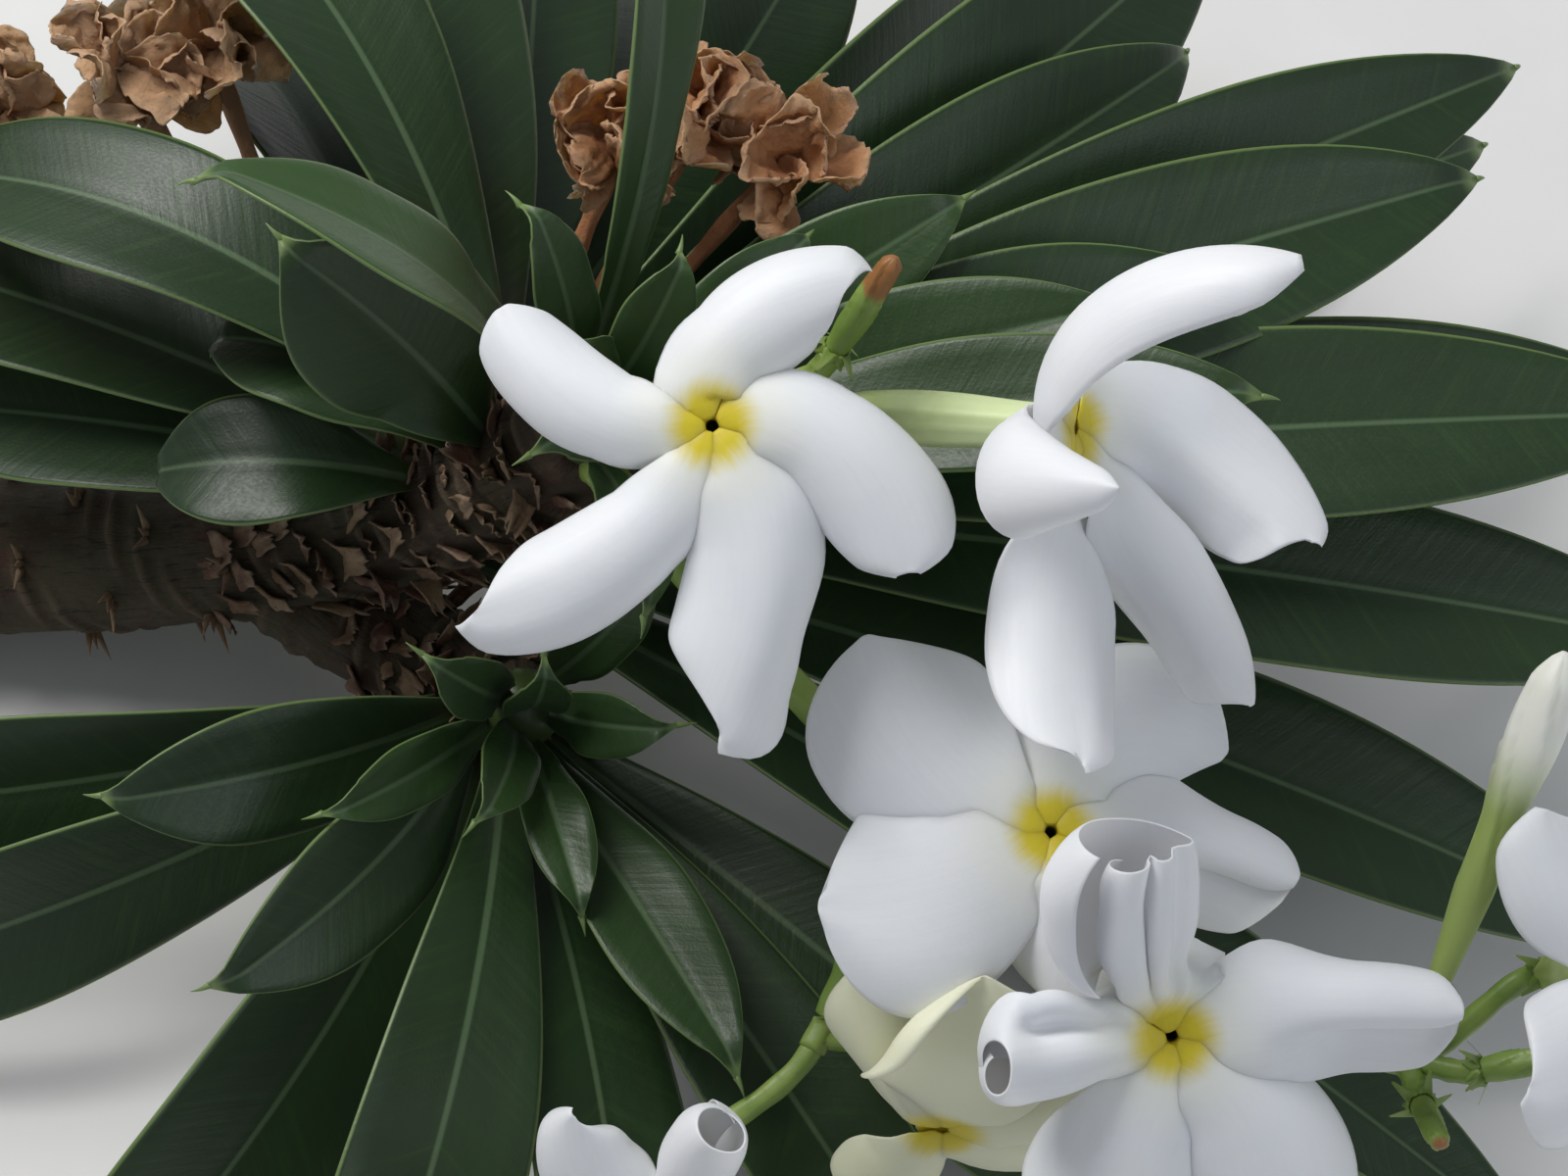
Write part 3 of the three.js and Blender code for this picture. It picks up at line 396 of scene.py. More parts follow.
class Curve:
    """A cubic curve measured along its length."""

    def __init__(self, points):
        self.points = np.array(points, float)
        self.steps = np.linspace(0, 1, 201)
        gaps = np.linalg.norm(np.diff(self.spot(self.steps), axis=0), axis=1)
        self.lengths = np.concatenate([[0], np.cumsum(gaps)])
        self.length = self.lengths[-1]

    def spot(self, t):
        t = np.atleast_1d(t)[:, None]
        a, b, c, d = self.points
        return a * (1 - t) ** 3 + 3 * b * t * (1 - t) ** 2 + 3 * c * t ** 2 * (1 - t) + d * t ** 3

    def step_at(self, u):
        return np.interp(np.atleast_1d(u) * self.length, self.lengths, self.steps)

    def at(self, u):
        return self.spot(self.step_at(u))

    def along(self, u):
        t = self.step_at(u)[:, None]
        a, b, c, d = self.points
        return unit(3 * (b - a) * (1 - t) ** 2 + 6 * (c - b) * t * (1 - t) + 3 * (d - c) * t ** 2)


class Limb(Curve):
    """A stem or shoot, with places measured back from its tip."""

    def __init__(self, shape):
        super().__init__(shape["points"])
        self.foot, self.tip = shape["foot"], shape["tip"]

    def below_tip(self, back):
        u = 1 - back / self.length
        return self.at(u)[0], self.along(u)[0], mix(self.foot, self.tip, u)


LIMBS = {"stem": Limb(STEM), "shoot": Limb(SHOOT)}


class Build:
    """Collects surfaces, with values told to each point, and makes them one mesh."""

    def __init__(self):
        self.points, self.faces, self.values, self.slots = [], [], {}, []
        self.count = 0

    def add(self, points, faces, slot=0, **values):
        points = np.asarray(points, float).reshape(-1, 3)
        for name in set(self.values) | set(values):
            given = values.get(name, 0.0)
            row = np.broadcast_to(np.asarray(given, float).reshape(-1), (len(points),)).astype(float)
            self.values.setdefault(name, [np.zeros(self.count)] if self.count else []).append(row)
        self.points.append(points)
        self.faces += [tuple(i + self.count for i in face) for face in faces]
        self.slots += [slot] * len(faces)
        self.count += len(points)

    def mesh(self, name, materials):
        """One mesh of all that was added. What would hang below the floor rests on it."""
        mesh = bpy.data.meshes.new(name)
        points = np.concatenate(self.points) * MM + SHIFT
        points[:, 2] = np.maximum(points[:, 2], 0.0)
        mesh.from_pydata(points.tolist(), [], self.faces)
        for key, rows in self.values.items():
            attribute = mesh.attributes.new(key, "FLOAT", "POINT")
            attribute.data.foreach_set("value", np.concatenate(rows).astype(np.float32))
        for material in materials:
            mesh.materials.append(material)
        mesh.polygons.foreach_set("material_index", self.slots)
        mesh.polygons.foreach_set("use_smooth", [True] * len(mesh.polygons))
        mesh.validate()
        mesh.update()
        piece = bpy.data.objects.new(name, mesh)
        bpy.context.scene.collection.objects.link(piece)
        return piece


def grid_faces(rows, columns, start=0, flip=False, closed=False):
    faces = []
    wide = columns if closed else columns - 1
    for i in range(rows - 1):
        for j in range(wide):
            a = start + i * columns + j
            b = start + i * columns + (j + 1) % columns
            face = (a, b, b + columns, a + columns)
            faces.append(face[::-1] if flip else face)
    return faces


def rim_faces(rows, columns, under):
    """Faces that join a sheet's upper layer to its lower one."""
    rim = list(range(columns))
    rim += [i * columns + columns - 1 for i in range(1, rows)]
    rim += [(rows - 1) * columns + j for j in range(columns - 2, -1, -1)]
    rim += [i * columns for i in range(rows - 2, 0, -1)]
    return [(b, a, under + a, under + b) for a, b in zip(rim, rim[1:] + rim[:1])]


def tube_faces(rings, sides):
    """Faces of a tube's wall and of its two ends."""
    faces = grid_faces(rings, sides, closed=True)
    faces.append(tuple(range(sides))[::-1])
    faces.append(tuple((rings - 1) * sides + k for k in range(sides)))
    return faces


def circle(sides):
    return np.arange(sides) * 2 * math.pi / sides


def ring(spot, direction, reach, angles):
    """Points round a direction, as far from the spot as reach says for each angle."""
    first, second = sideways(direction)
    return spot + np.outer(reach * np.cos(angles), first) + np.outer(reach * np.sin(angles), second)


def add_sheet(build, top, bottom, **values):
    """A closed sheet between two grids of points; values are grids too."""
    rows, columns = top.shape[:2]
    under = rows * columns
    faces = grid_faces(rows, columns)
    faces += grid_faces(rows, columns, under, flip=True)
    faces += rim_faces(rows, columns, under)
    both = {name: np.concatenate([np.ravel(v), np.ravel(v)]) for name, v in values.items()}
    both["under"] = np.concatenate([np.zeros(under), np.ones(under)])
    build.add(np.concatenate([top.reshape(-1, 3), bottom.reshape(-1, 3)]), faces, **both)


def add_tube(build, spots, directions, radii, sides, ribs=0, rib_depth=0.0, **values):
    """A closed tube through rings; radii and values are one number a ring, or one for all."""
    angles = circle(sides)
    ribbing = 1 + rib_depth * np.cos(ribs * angles)
    rings = [ring(spot, direction, radius * ribbing, angles)
             for spot, direction, radius in zip(spots, directions, radii)]
    spread = {name: np.repeat(v, sides) if np.ndim(v) else v for name, v in values.items()}
    build.add(np.concatenate(rings), tube_faces(len(rings), sides), **spread)


def finish_piece(piece, nodes):
    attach(piece, "root")
    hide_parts(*nodes)


# Leaves
def leaf_share(s):
    """Share of its full width that a blade has along its length."""
    swell = np.sin(math.pi / 2 * np.minimum(1, s / LEAF["swell_end"])) ** LEAF["swell_power"]
    close = np.maximum(0, (s - LEAF["swell_end"]) / (1 - LEAF["swell_end"])) ** LEAF["close_power"]
    return mix(LEAF["foot_share"], 1, swell) * (1 - close)


def leaf_frame(foot, tip, axis, rise, roll, s):
    """Middle, direction, upper face and side of a leaf at shares of its length."""
    chord = tip - foot
    upper = unit(axis - chord * axis.dot(chord) / chord.dot(chord))
    along = unit(chord + np.outer(rise * 4 * (1 - 2 * s), upper))
    face = unit(upper - along * (along @ upper)[:, None])
    face = turned(face, along, np.radians(roll) * clamp(s * LEAF["roll_speed"]))
    side = np.cross(face, along)
    hook = LEAF["hook_drop"] * clamp((s - LEAF["hook_start"]) / (1 - LEAF["hook_start"])) ** 2
    middle = foot + np.outer(s, chord) + np.outer(rise * 4 * s * (1 - s), upper) - face * hook[:, None]
    return middle, along, face, side


def rooted(limb, back, tip):
    """A leaf's foot, sunk in its limb on the side that its tip is on, and the limb's direction there."""
    point, axis, radius = LIMBS[limb].below_tip(back)
    outward = tip - point
    outward = unit(outward - axis * outward.dot(axis))
    return point + outward * (radius - LEAF["sunk"]), axis


def add_leaf(build, foot, tip, axis, rise, width, roll, seed, settings, tone, thickness=1.0):
    """A leathery blade with a sunken midrib above, a keel below and a thin pale margin."""
    rows, columns = settings.leaf_rows, settings.leaf_columns
    s = np.linspace(0, 1, rows) ** BLADE["row_power"]
    u = crowded(columns, BLADE["column_power"])
    outer = np.abs(u)[None, :]
    middle, along, face, side = leaf_frame(foot, tip, axis, rise, roll, s)
    half = np.maximum(width / 2 * leaf_share(s), BLADE["least_half"])
    length = np.linalg.norm(tip - foot)
    across = half[:, None] * u[None, :]
    phase = wobble(seed, 1) * math.pi
    wave = settings.leaf_wave * np.sin(2 * math.pi * BLADE["waves"] * s + phase)[:, None] * u[None, :] ** 2
    wave = wave * np.sin(math.pi * s)[:, None]
    droop = BLADE["droop"] * smoothstep(BLADE["droop_from"], 1.0, outer)
    droop = droop * (half[:, None] > BLADE["droop_half"])
    height = LEAF["fold"] * half[:, None] * outer ** BLADE["fold_power"] + wave - droop
    groove = BLADE["groove"] * np.exp(-(across / BLADE["groove_width"]) ** 2)
    body = thickness * (BLADE["margin_body"] + BLADE["inner_body"] * (1 - outer ** 3))
    keel = BLADE["keel"] * np.exp(-(across / BLADE["keel_width"]) ** 2)
    keel = keel * (1 - BLADE["keel_fade"] * s)[:, None]
    spot = middle[:, None, :] + side[:, None, :] * across[..., None]
    top = spot + face[:, None, :] * (height - groove + BLADE["lift"])[..., None]
    bottom = spot + face[:, None, :] * (height - body - keel + BLADE["lift"])[..., None]
    share = np.repeat(s[:, None], columns, axis=1)
    add_sheet(build, top, bottom, along=share * length, across=across, edge=np.repeat(outer, rows, 0),
              share=share, tone=np.full_like(share, tone), seed=np.full_like(share, seed * 13.7))
    if length > LEAF_TIP["least_leaf"]:
        rings = LEAF_TIP["rings"]
        steps = np.linspace(0, 1, rings)
        hook = middle[-1] + np.outer(LEAF_TIP["length"] * steps - LEAF_TIP["sunk"], along[-1])
        hook = hook - np.outer(LEAF_TIP["drop"] * steps ** 2, face[-1])
        radii = mix(*LEAF_TIP["radii"], steps)
        add_tube(build, hook, np.repeat(along[-1:], rings, 0), radii, sides=8, share=1.0, edge=1.0)


# Petals
def petal_line(row, rows):
    """The petal's middle line with its directions: first over the throat, then as the petal swings out."""
    s = 1 - (1 - np.linspace(0, 1, rows)) ** PETAL["row_power"]
    start = math.radians(row["heading"])
    turn = start + math.radians(row["sweep"]) * s ** row["swing"]
    lift = np.radians(mix(row["lift"][0], row["lift"][1], s ** PETAL["lift_power"]))
    along = np.stack([np.cos(turn) * np.cos(lift), np.sin(turn) * np.cos(lift), np.sin(lift)], axis=1)
    side = np.stack([-np.sin(turn), np.cos(turn), np.zeros(rows)], axis=1)
    outward = np.array((math.cos(start), math.sin(start), 0.0))
    root = outward * PETAL["root"] - np.array((0, 0, PETAL["sunk"]))
    steps = along[:-1] * (np.diff(s) * row["length"])[:, None]
    line = root + np.concatenate([np.zeros((1, 3)), np.cumsum(steps, axis=0)])
    inner = np.linspace(THROAT["hole"], PETAL["root"], THROAT["rows"] + 1)[:-1]
    depth = ((PETAL["root"] - inner) / PETAL["root"]) ** THROAT["dip_power"]
    throat = np.outer(inner, outward) + np.outer(-PETAL["sunk"] - THROAT["dip"] * depth, (0, 0, 1))
    slope = unit(outward + np.outer(np.linspace(*THROAT["slopes"], len(inner)), (0, 0, 1)))
    reach = THROAT["half"] + (inner - THROAT["hole"]) * THROAT["widening"]
    line = np.concatenate([throat, line])
    along = np.concatenate([slope, along])
    side = np.concatenate([np.repeat(side[:1], len(inner), 0), side])
    return line, along, side, np.concatenate([np.zeros(len(inner)), s]), reach


def petal_halves(row, s, inner_half):
    """Half the petal's width along its length; its first rows are those over the throat."""
    swell = np.sin(math.pi / 2 * np.minimum(1, s / PETAL["widest"])) ** PETAL["wide_power"]
    close = np.maximum(0, (s - PETAL["widest"]) / (1 - PETAL["widest"]))
    share = mix(row["foot"], 1, swell) * np.sqrt(1 - (1 - row["tip"] ** 2) * close ** row["close"])
    corner = clamp((s - 1 + row["round"]) / row["round"]) if row["round"] else np.zeros_like(s)
    half = row["width"] / 2 * share * np.sqrt(1 - (1 - row["blunt"] ** 2) * corner ** 2)
    inner = len(inner_half)
    half[:inner] = inner_half
    half[inner:] = np.maximum(half[inner:], PETAL["least_half"])
    return half


def petal_slopes(row, s, t):
    """The slope of the petal's section at each place across: its arch, curled margins, fold and rolls."""
    grown = smoothstep(0.15, 0.7, s)[:, None]
    bend = np.radians(mix(row["arch"], row["tip_arch"], smoothstep(0.45, 1.0, s)))
    bend = bend * np.minimum(1, PETAL["bend_least"] + s * PETAL["bend_speed"])
    left, right = (np.radians(angle) * grown for angle in row["curl"])
    start, power = PETAL["curl_start"], PETAL["curl_power"]
    slope = bend[:, None] * t + left * clamp((t - start) / (1 - start)) ** power
    slope = slope - right * clamp((-t - start) / (1 - start)) ** power
    at, fold = row["fold"]
    past = (t - at) if fold > 0 else (at - t)
    fading = grown * (1 - PETAL["fold_fade"] * smoothstep(0.8, 1.0, s))[:, None]
    slope = slope + math.radians(fold) * fading * smoothstep(-PETAL["crease"], PETAL["crease"], past)
    rolls = row["rolls"]
    for reached, section in row["sections"]:
        rolled = np.radians(np.interp(t, *zip(*section)))
        slope = mix(slope, rolled, smoothstep(rolls, reached, s)[:, None])
        rolls = reached
    return slope


def petal_section(slope, across, centre):
    """How far each place lies to the side of the petal's line and below it, from the slopes between."""
    step = np.diff(across, axis=1)
    middle = (slope[:, 1:] + slope[:, :-1]) / 2
    zero = np.zeros((len(across), 1))
    over = np.concatenate([zero, np.cumsum(np.cos(middle) * step, axis=1)], axis=1)
    down = np.concatenate([zero, np.cumsum(np.sin(middle) * step, axis=1)], axis=1)
    return over - over[:, centre:centre + 1], down - down[:, centre:centre + 1]


def petal_sheets(row, settings, seed):
    """Upper and lower surface of a petal in its flower's own frame, with its values."""
    columns = settings.rolled_columns if row["sections"] else settings.petal_columns
    line, along, side, s, inner_half = petal_line(row, settings.petal_rows)
    face = np.cross(along, side)
    overlap = settings.petal_overlap * (1 - s) ** 2 * mix(0.25, 1, smoothstep(0.0, 0.14, s))
    twist = np.radians(row["twist"] * smoothstep(0.03, 0.5, s) - overlap)
    side, face = turned(side, along, twist), turned(face, along, twist)
    t = crowded(columns, PETAL["column_power"])
    across = petal_halves(row, s, inner_half)[:, None] * t
    slope = petal_slopes(row, s, t)
    over, down = petal_section(slope, across, np.argmin(np.abs(t - row["middle"])))
    spot = line[:, None, :] + side[:, None, :] * over[..., None] - face[:, None, :] * down[..., None]
    normal = face[:, None, :] * np.cos(slope)[..., None] + side[:, None, :] * np.sin(slope)[..., None]
    longer = row["skew"] * smoothstep(0.7, 1.0, s)[:, None] * t
    longer = longer + row["bulge"] * smoothstep(0.85, 1.0, s)[:, None] * (1 - t ** 2)
    ripple = np.sin(RIPPLE["rate"] * s[:, None] + wobble(seed, 2) * math.pi + RIPPLE["slant"] * t)
    ripple = row["wave"] * ripple * t ** 2 * smoothstep(0.25, 0.8, s)[:, None]
    place = RIPPLE["valley_shift"] * wobble(seed, 3)
    valley = RIPPLE["valley"] * np.exp(-((t - place) / RIPPLE["valley_width"]) ** 2)
    valley = valley * smoothstep(0.5, 0.95, s)[:, None]
    spot = spot + along[:, None, :] * longer[..., None] + normal * (ripple - valley)[..., None]
    thick = settings.petal_thickness * (1 - PETAL["margin_thin"] * np.abs(t) ** 5)
    thick = thick * (1 - PETAL["end_thin"] * s[:, None] ** 8)
    thick = np.maximum(thick * smoothstep(-0.2, 0.1, s)[:, None], PETAL["least_thickness"])
    values = dict(along=np.repeat((s * row["length"])[:, None], columns, 1), across=across,
                  share=np.repeat(s[:, None], columns, 1),
                  throat=np.hypot(np.hypot(spot[..., 0], spot[..., 1]), spot[..., 2]))
    return spot + normal * (thick / 2)[..., None], spot - normal * (thick / 2)[..., None], values


def flower_axes(flower):
    """A flower's own three directions, the last one its facing, and its middle."""
    z = unit(sum(a * b for a, b in zip(flower["facing"], (ACROSS, UPWARD, OUTWARD))))
    y = unit(UPWARD - z * UPWARD.dot(z))
    x = np.cross(y, z)
    return np.array([x, y, z]), np.array(flower["centre"], float)


# Materials
class Finish:
    """A procedural finish: small helpers around one node tree."""

    def __init__(self, name, roughness=0.5):
        self.material = bpy.data.materials.new(name)
        self.material.use_nodes = True
        self.nodes = self.material.node_tree.nodes
        self.links = self.material.node_tree.links
        self.shader = self.nodes["Principled BSDF"]
        self.shader.inputs["Roughness"].default_value = roughness

    def node(self, kind, **values):
        node = self.nodes.new(kind)
        for key, value in values.items():
            setattr(node, key, value)
        return node

    def feed(self, socket, value):
        if isinstance(value, bpy.types.NodeSocket):
            self.links.new(value, socket)
        else:
            socket.default_value = value

    def told(self, name):
        return self.node("ShaderNodeAttribute", attribute_name=name).outputs["Fac"]

    def place(self):
        return self.node("ShaderNodeTexCoord").outputs["Object"]

    def vector(self, x, y, z=0.0):
        node = self.node("ShaderNodeCombineXYZ")
        for socket, value in zip(node.inputs, (x, y, z)):
            self.feed(socket, value)
        return node.outputs[0]

    def noise(self, vector, scale, detail=4.0, roughness=0.55):
        node = self.node("ShaderNodeTexNoise")
        self.feed(node.inputs["Vector"], vector)
        node.inputs["Scale"].default_value = scale
        node.inputs["Detail"].default_value = detail
        node.inputs["Roughness"].default_value = roughness
        return node.outputs["Fac"]

    def stretched(self, first, first_rate, second, second_rate, seed, detail):
        """Noise that runs at its own rate in each of two directions."""
        return self.noise(self.vector(self.times(first, first_rate), self.times(second, second_rate), seed),
                          1.0, detail)

    def math(self, operation, a, b=0.0):
        node = self.node("ShaderNodeMath", operation=operation)
        self.feed(node.inputs[0], a)
        self.feed(node.inputs[1], b)
        return node.outputs[0]

    def plus(self, a, b):
        return self.math("ADD", a, b)

    def times(self, a, b):
        return self.math("MULTIPLY", a, b)

    def span(self, value, low, high, to_low=0.0, to_high=1.0):
        node = self.node("ShaderNodeMapRange", interpolation_type="SMOOTHSTEP")
        for socket, number in zip(node.inputs, (value, low, high, to_low, to_high)):
            self.feed(socket, number)
        return node.outputs[0]

    def colour(self, share, a, b):
        node = self.node("ShaderNodeMix", data_type="RGBA")
        self.feed(node.inputs["Factor"], share)
        colours = [socket for socket in node.inputs if socket.type == "RGBA"]
        for socket, value in zip(colours, (a, b)):
            self.feed(socket, value if isinstance(value, bpy.types.NodeSocket) else (*value, 1.0))
        return next(socket for socket in node.outputs if socket.type == "RGBA")

    def layers(self, colour, *rows):
        """Colours laid one over another; a row is the span that lets a colour through, then that colour."""
        for *span, over in rows:
            colour = self.colour(self.span(*span), colour, over)
        return colour

    def base(self, colour):
        self.links.new(colour, self.shader.inputs["Base Color"])

    def rough(self, value):
        self.feed(self.shader.inputs["Roughness"], value)

    def bump(self, height, distance, strength):
        node = self.node("ShaderNodeBump")
        node.inputs["Strength"].default_value = strength
        node.inputs["Distance"].default_value = distance
        self.feed(node.inputs["Height"], height)
        self.links.new(node.outputs[0], self.shader.inputs["Normal"])

    def soft(self, weight, radius, scale):
        self.shader.inputs["Subsurface Weight"].default_value = weight
        self.shader.inputs["Subsurface Radius"].default_value = radius
        self.shader.inputs["Subsurface Scale"].default_value = scale


def leaf_finish(c):
    """Leathery green blade: pale midrib, margin and tip, faint side veins, dull grey-green underside."""
    f = Finish("leathery_leaf")
    along, across, edge, share = f.told("along"), f.told("across"), f.told("edge"), f.told("share")
    under, tone, seed = f.told("under"), f.told("tone"), f.told("seed")
    inward = f.math("ABSOLUTE", across)
    slanted = f.plus(along, f.times(inward, -0.7))
    patch = f.stretched(along, 0.02, across, 0.05, seed, 5.0)
    streak = f.stretched(slanted, 0.55, inward, 0.05, seed, 3.0)
    grain = f.stretched(along, 1.3, across, 1.9, seed, 4.0)
    # The deep and usual greens are the blades' own dark green, darkened further as painted shade
    green = f.layers(c.leaf_old_and_shade, (patch, 0.35, 0.7, c.leaf_usual_and_shade))
    green = f.colour(f.times(tone, 0.9), green, c.leaf_young)
    green = f.layers(green, (streak, 0.5, 0.72, 0.0, 0.28, c.leaf_young),
                     (grain, 0.62, 0.8, 0.0, 0.25, c.leaf_foot), (share, 0.0, 0.16, 0.5, 0.0, c.leaf_foot))
    dull = f.layers(c.under_dark, (patch, 0.3, 0.7, c.under_light),
                    (grain, 0.45, 0.75, 0.0, 0.4, c.under_light))
    green = f.colour(under, green, dull)
    rib = f.plus(inward, f.times(share, 0.5))
    green = f.layers(green, (rib, 0.45, 1.15, 0.75, 0.0, c.leaf_rib))
    margin = f.times(f.span(edge, 0.955, 0.99), f.span(share, 0.0, 0.3, 0.25, 0.75))
    green = f.colour(margin, green, c.leaf_margin)
    f.base(f.layers(green, (share, 0.965, 0.99, 0.0, 0.9, c.leaf_margin)))
    f.rough(f.plus(f.span(grain, 0.3, 0.7, 0.36, 0.46), f.times(under, 0.2)))
    f.bump(f.plus(f.times(streak, 1.6), f.times(grain, 0.7)), 0.00014, 0.5)
    f.shader.inputs["Sheen Weight"].default_value = 0.04
    return f.material


def petal_finish(c):
    """Soft white petal with fine lengthwise veins, a yellow foot and a cool cast along its veins and in
    faint clouds.
    """
    f = Finish("white_petal", 0.55)
    vein = f.stretched(f.told("along"), 0.07, f.told("across"), 1.1, f.told("seed"), 4.0)
    cloud, satin = f.noise(f.place(), 55.0, 3.0), f.noise(f.place(), 900.0, 2.0)
    white = f.layers(c.petal_white, (vein, 0.35, 0.8, 0.0, 0.3, c.petal_cool),
                     (cloud, 0.45, 0.75, 0.0, 0.5, c.petal_cool))
    white = f.colour(f.told("cream"), white, c.petal_cream)
    white = f.colour(f.told("green"), white, c.tube_green)
    ragged = f.plus(f.told("throat"), f.times(f.math("SUBTRACT", vein, 0.5), 2.2))
    f.base(f.layers(white, (ragged, 6.0, 20.0, 0.42, 0.0, c.petal_cream),
                    (ragged, 4.6, 9.8, 1.0, 0.0, c.throat_yellow),
                    (ragged, 1.6, 4.6, 0.75, 0.0, c.throat_deep)))
    f.rough(f.span(vein, 0.3, 0.7, 0.46, 0.54))
    f.bump(f.plus(f.times(vein, 0.7), f.times(satin, 0.3)), 0.00014, 0.35)
    f.soft(0.35, (1.0, 0.85, 0.7), 0.004)
    f.shader.inputs["Sheen Weight"].default_value = 0.12
    f.shader.inputs["Sheen Roughness"].default_value = 0.4
    return f.material


def throat_finish(c):
    """Flower tube: ribbed pale green outside, yellow disc, and a hole painted dark as shade."""
    f = Finish("flower_tube", 0.5)
    zone, streak = f.told("zone"), f.noise(f.place(), 240.0, 4.0)
    green = f.layers(c.tube_green, (f.told("along"), 0.0, 0.9, c.tube_pale),
                     (streak, 0.35, 0.7, 0.0, 0.4, c.tube_pale))
    yellow = f.layers(c.throat_yellow, (streak, 0.4, 0.7, c.throat_deep))
    # The hole's near-black olive is painted shade in the tube's depth
    f.base(f.layers(green, (zone, 0.4, 0.6, yellow), (zone, 1.3, 1.8, c.hole)))
    f.bump(streak, 0.0002, 0.5)
    f.soft(0.2, (1.0, 0.9, 0.4), 0.002)
    return f.material


def stalk_finish(c):
    """Fresh green stalk and bud with darker flecks and brown bud tips."""
    f = Finish("green_stalk", 0.42)
    fleck, broad = f.noise(f.place(), 300.0, 5.0), f.noise(f.place(), 60.0, 2.0)
    tip = f.plus(f.told("brown"), f.times(f.math("SUBTRACT", fleck, 0.5), 0.5))
    f.base(f.layers(c.stalk_green, (broad, 0.35, 0.7, c.stalk_pale),
                    (fleck, 0.55, 0.75, 0.0, 0.5, c.stalk_dark), (tip, 0.4, 0.7, c.bud_brown)))
    f.rough(f.span(fleck, 0.3, 0.7, 0.36, 0.5))
    f.bump(fleck, 0.0003, 0.6)
    f.soft(0.12, (0.6, 1.0, 0.3), 0.002)
    return f.material


def bark_finish(c):
    """Olive-brown succulent bark, fissured, lichen-pale in patches."""
    f = Finish("olive_bark", 0.85)
    spot = f.place()
    broad, fine = f.noise(spot, 38.0, 7.0, 0.7), f.noise(spot, 420.0, 8.0, 0.75)
    length = f.vector(f.times(f.told("along"), 0.09), f.times(f.told("around"), 0.6))
    fissure, patch = f.noise(length, 1.0, 6.0, 0.7), f.noise(spot, 85.0, 5.0, 0.6)
    bark = f.layers(c.bark_olive, (broad, 0.38, 0.62, c.bark_brown),
                    (patch, 0.56, 0.68, 0.0, 0.8, c.bark_red), (broad, 0.6, 0.74, 0.0, 0.75, c.bark_pale),
                    (f.told("relief"), 0.3, 1.0, 0.0, 0.5, c.bark_pale),
                    (fine, 0.56, 0.74, 0.0, 0.7, c.bark_pale),
                    (fissure, 0.34, 0.46, 0.85, 0.0, c.bark_crack))
    flesh = f.layers(c.cut_flesh, (fine, 0.4, 0.7, 0.0, 0.5, c.bark_pale))
    f.base(f.colour(f.told("cut"), bark, flesh))
    f.rough(f.span(fine, 0.3, 0.7, 0.72, 0.95))
    f.bump(f.plus(f.times(fissure, 1.6), f.plus(broad, f.times(fine, 0.8))), 0.0011, 0.9)
    return f.material


def stub_finish(c):
    """Dry leaf bases and spines: tan to red-brown, each its own shade."""
    f = Finish("dry_leaf_base", 0.8)
    fibre, blotch = f.noise(f.place(), 520.0, 6.0, 0.7), f.noise(f.place(), 150.0, 4.0)
    tan = f.colour(f.told("shade"), c.stub_tan, c.stub_red)
    f.base(f.layers(tan, (blotch, 0.45, 0.65, 0.0, 0.7, c.stub_tip),
                    (fibre, 0.5, 0.75, 0.0, 0.7, c.bark_crack),
                    (f.told("share"), 0.7, 1.0, 0.0, 0.6, c.stub_tip)))
    f.bump(f.plus(fibre, blotch), 0.0006, 0.9)
    return f.material


def dry_finish(c):
    """Withered blossom: papery orange-brown with darker mottling and pale rims."""
    f = Finish("withered_petal", 0.85)
    broad, fine = f.noise(f.place(), 110.0, 5.0, 0.6), f.noise(f.place(), 620.0, 6.0, 0.7)
    mottled = f.plus(broad, f.times(f.told("shade"), 0.2))
    dry = f.layers(c.dry_orange, (mottled, 0.45, 0.75, c.dry_brown))
    dry = f.colour(f.times(f.told("tone"), 0.8), dry, c.dry_beige)
    f.base(f.layers(dry, (f.told("edge"), 0.55, 1.0, 0.0, 0.6, c.dry_pale),
                    (fine, 0.52, 0.78, 0.0, 0.55, c.dry_dark)))
    f.bump(f.plus(broad, f.times(fine, 0.6)), 0.0009, 0.9)
    f.soft(0.2, (1.0, 0.6, 0.3), 0.003)
    return f.material


FINISHES = {}


def finish_of(kind, colours):
    """Each finish is made once and shared by the pieces that wear it."""
    if kind.__name__ not in FINISHES:
        FINISHES[kind.__name__] = kind(colours)
    return FINISHES[kind.__name__]


# Settings that the sidebar shows
def tint(name, description, default):
    return FloatVectorProperty(name=name, description=description, default=default, subtype="COLOR",
                               size=3, min=0.0, max=1.0)


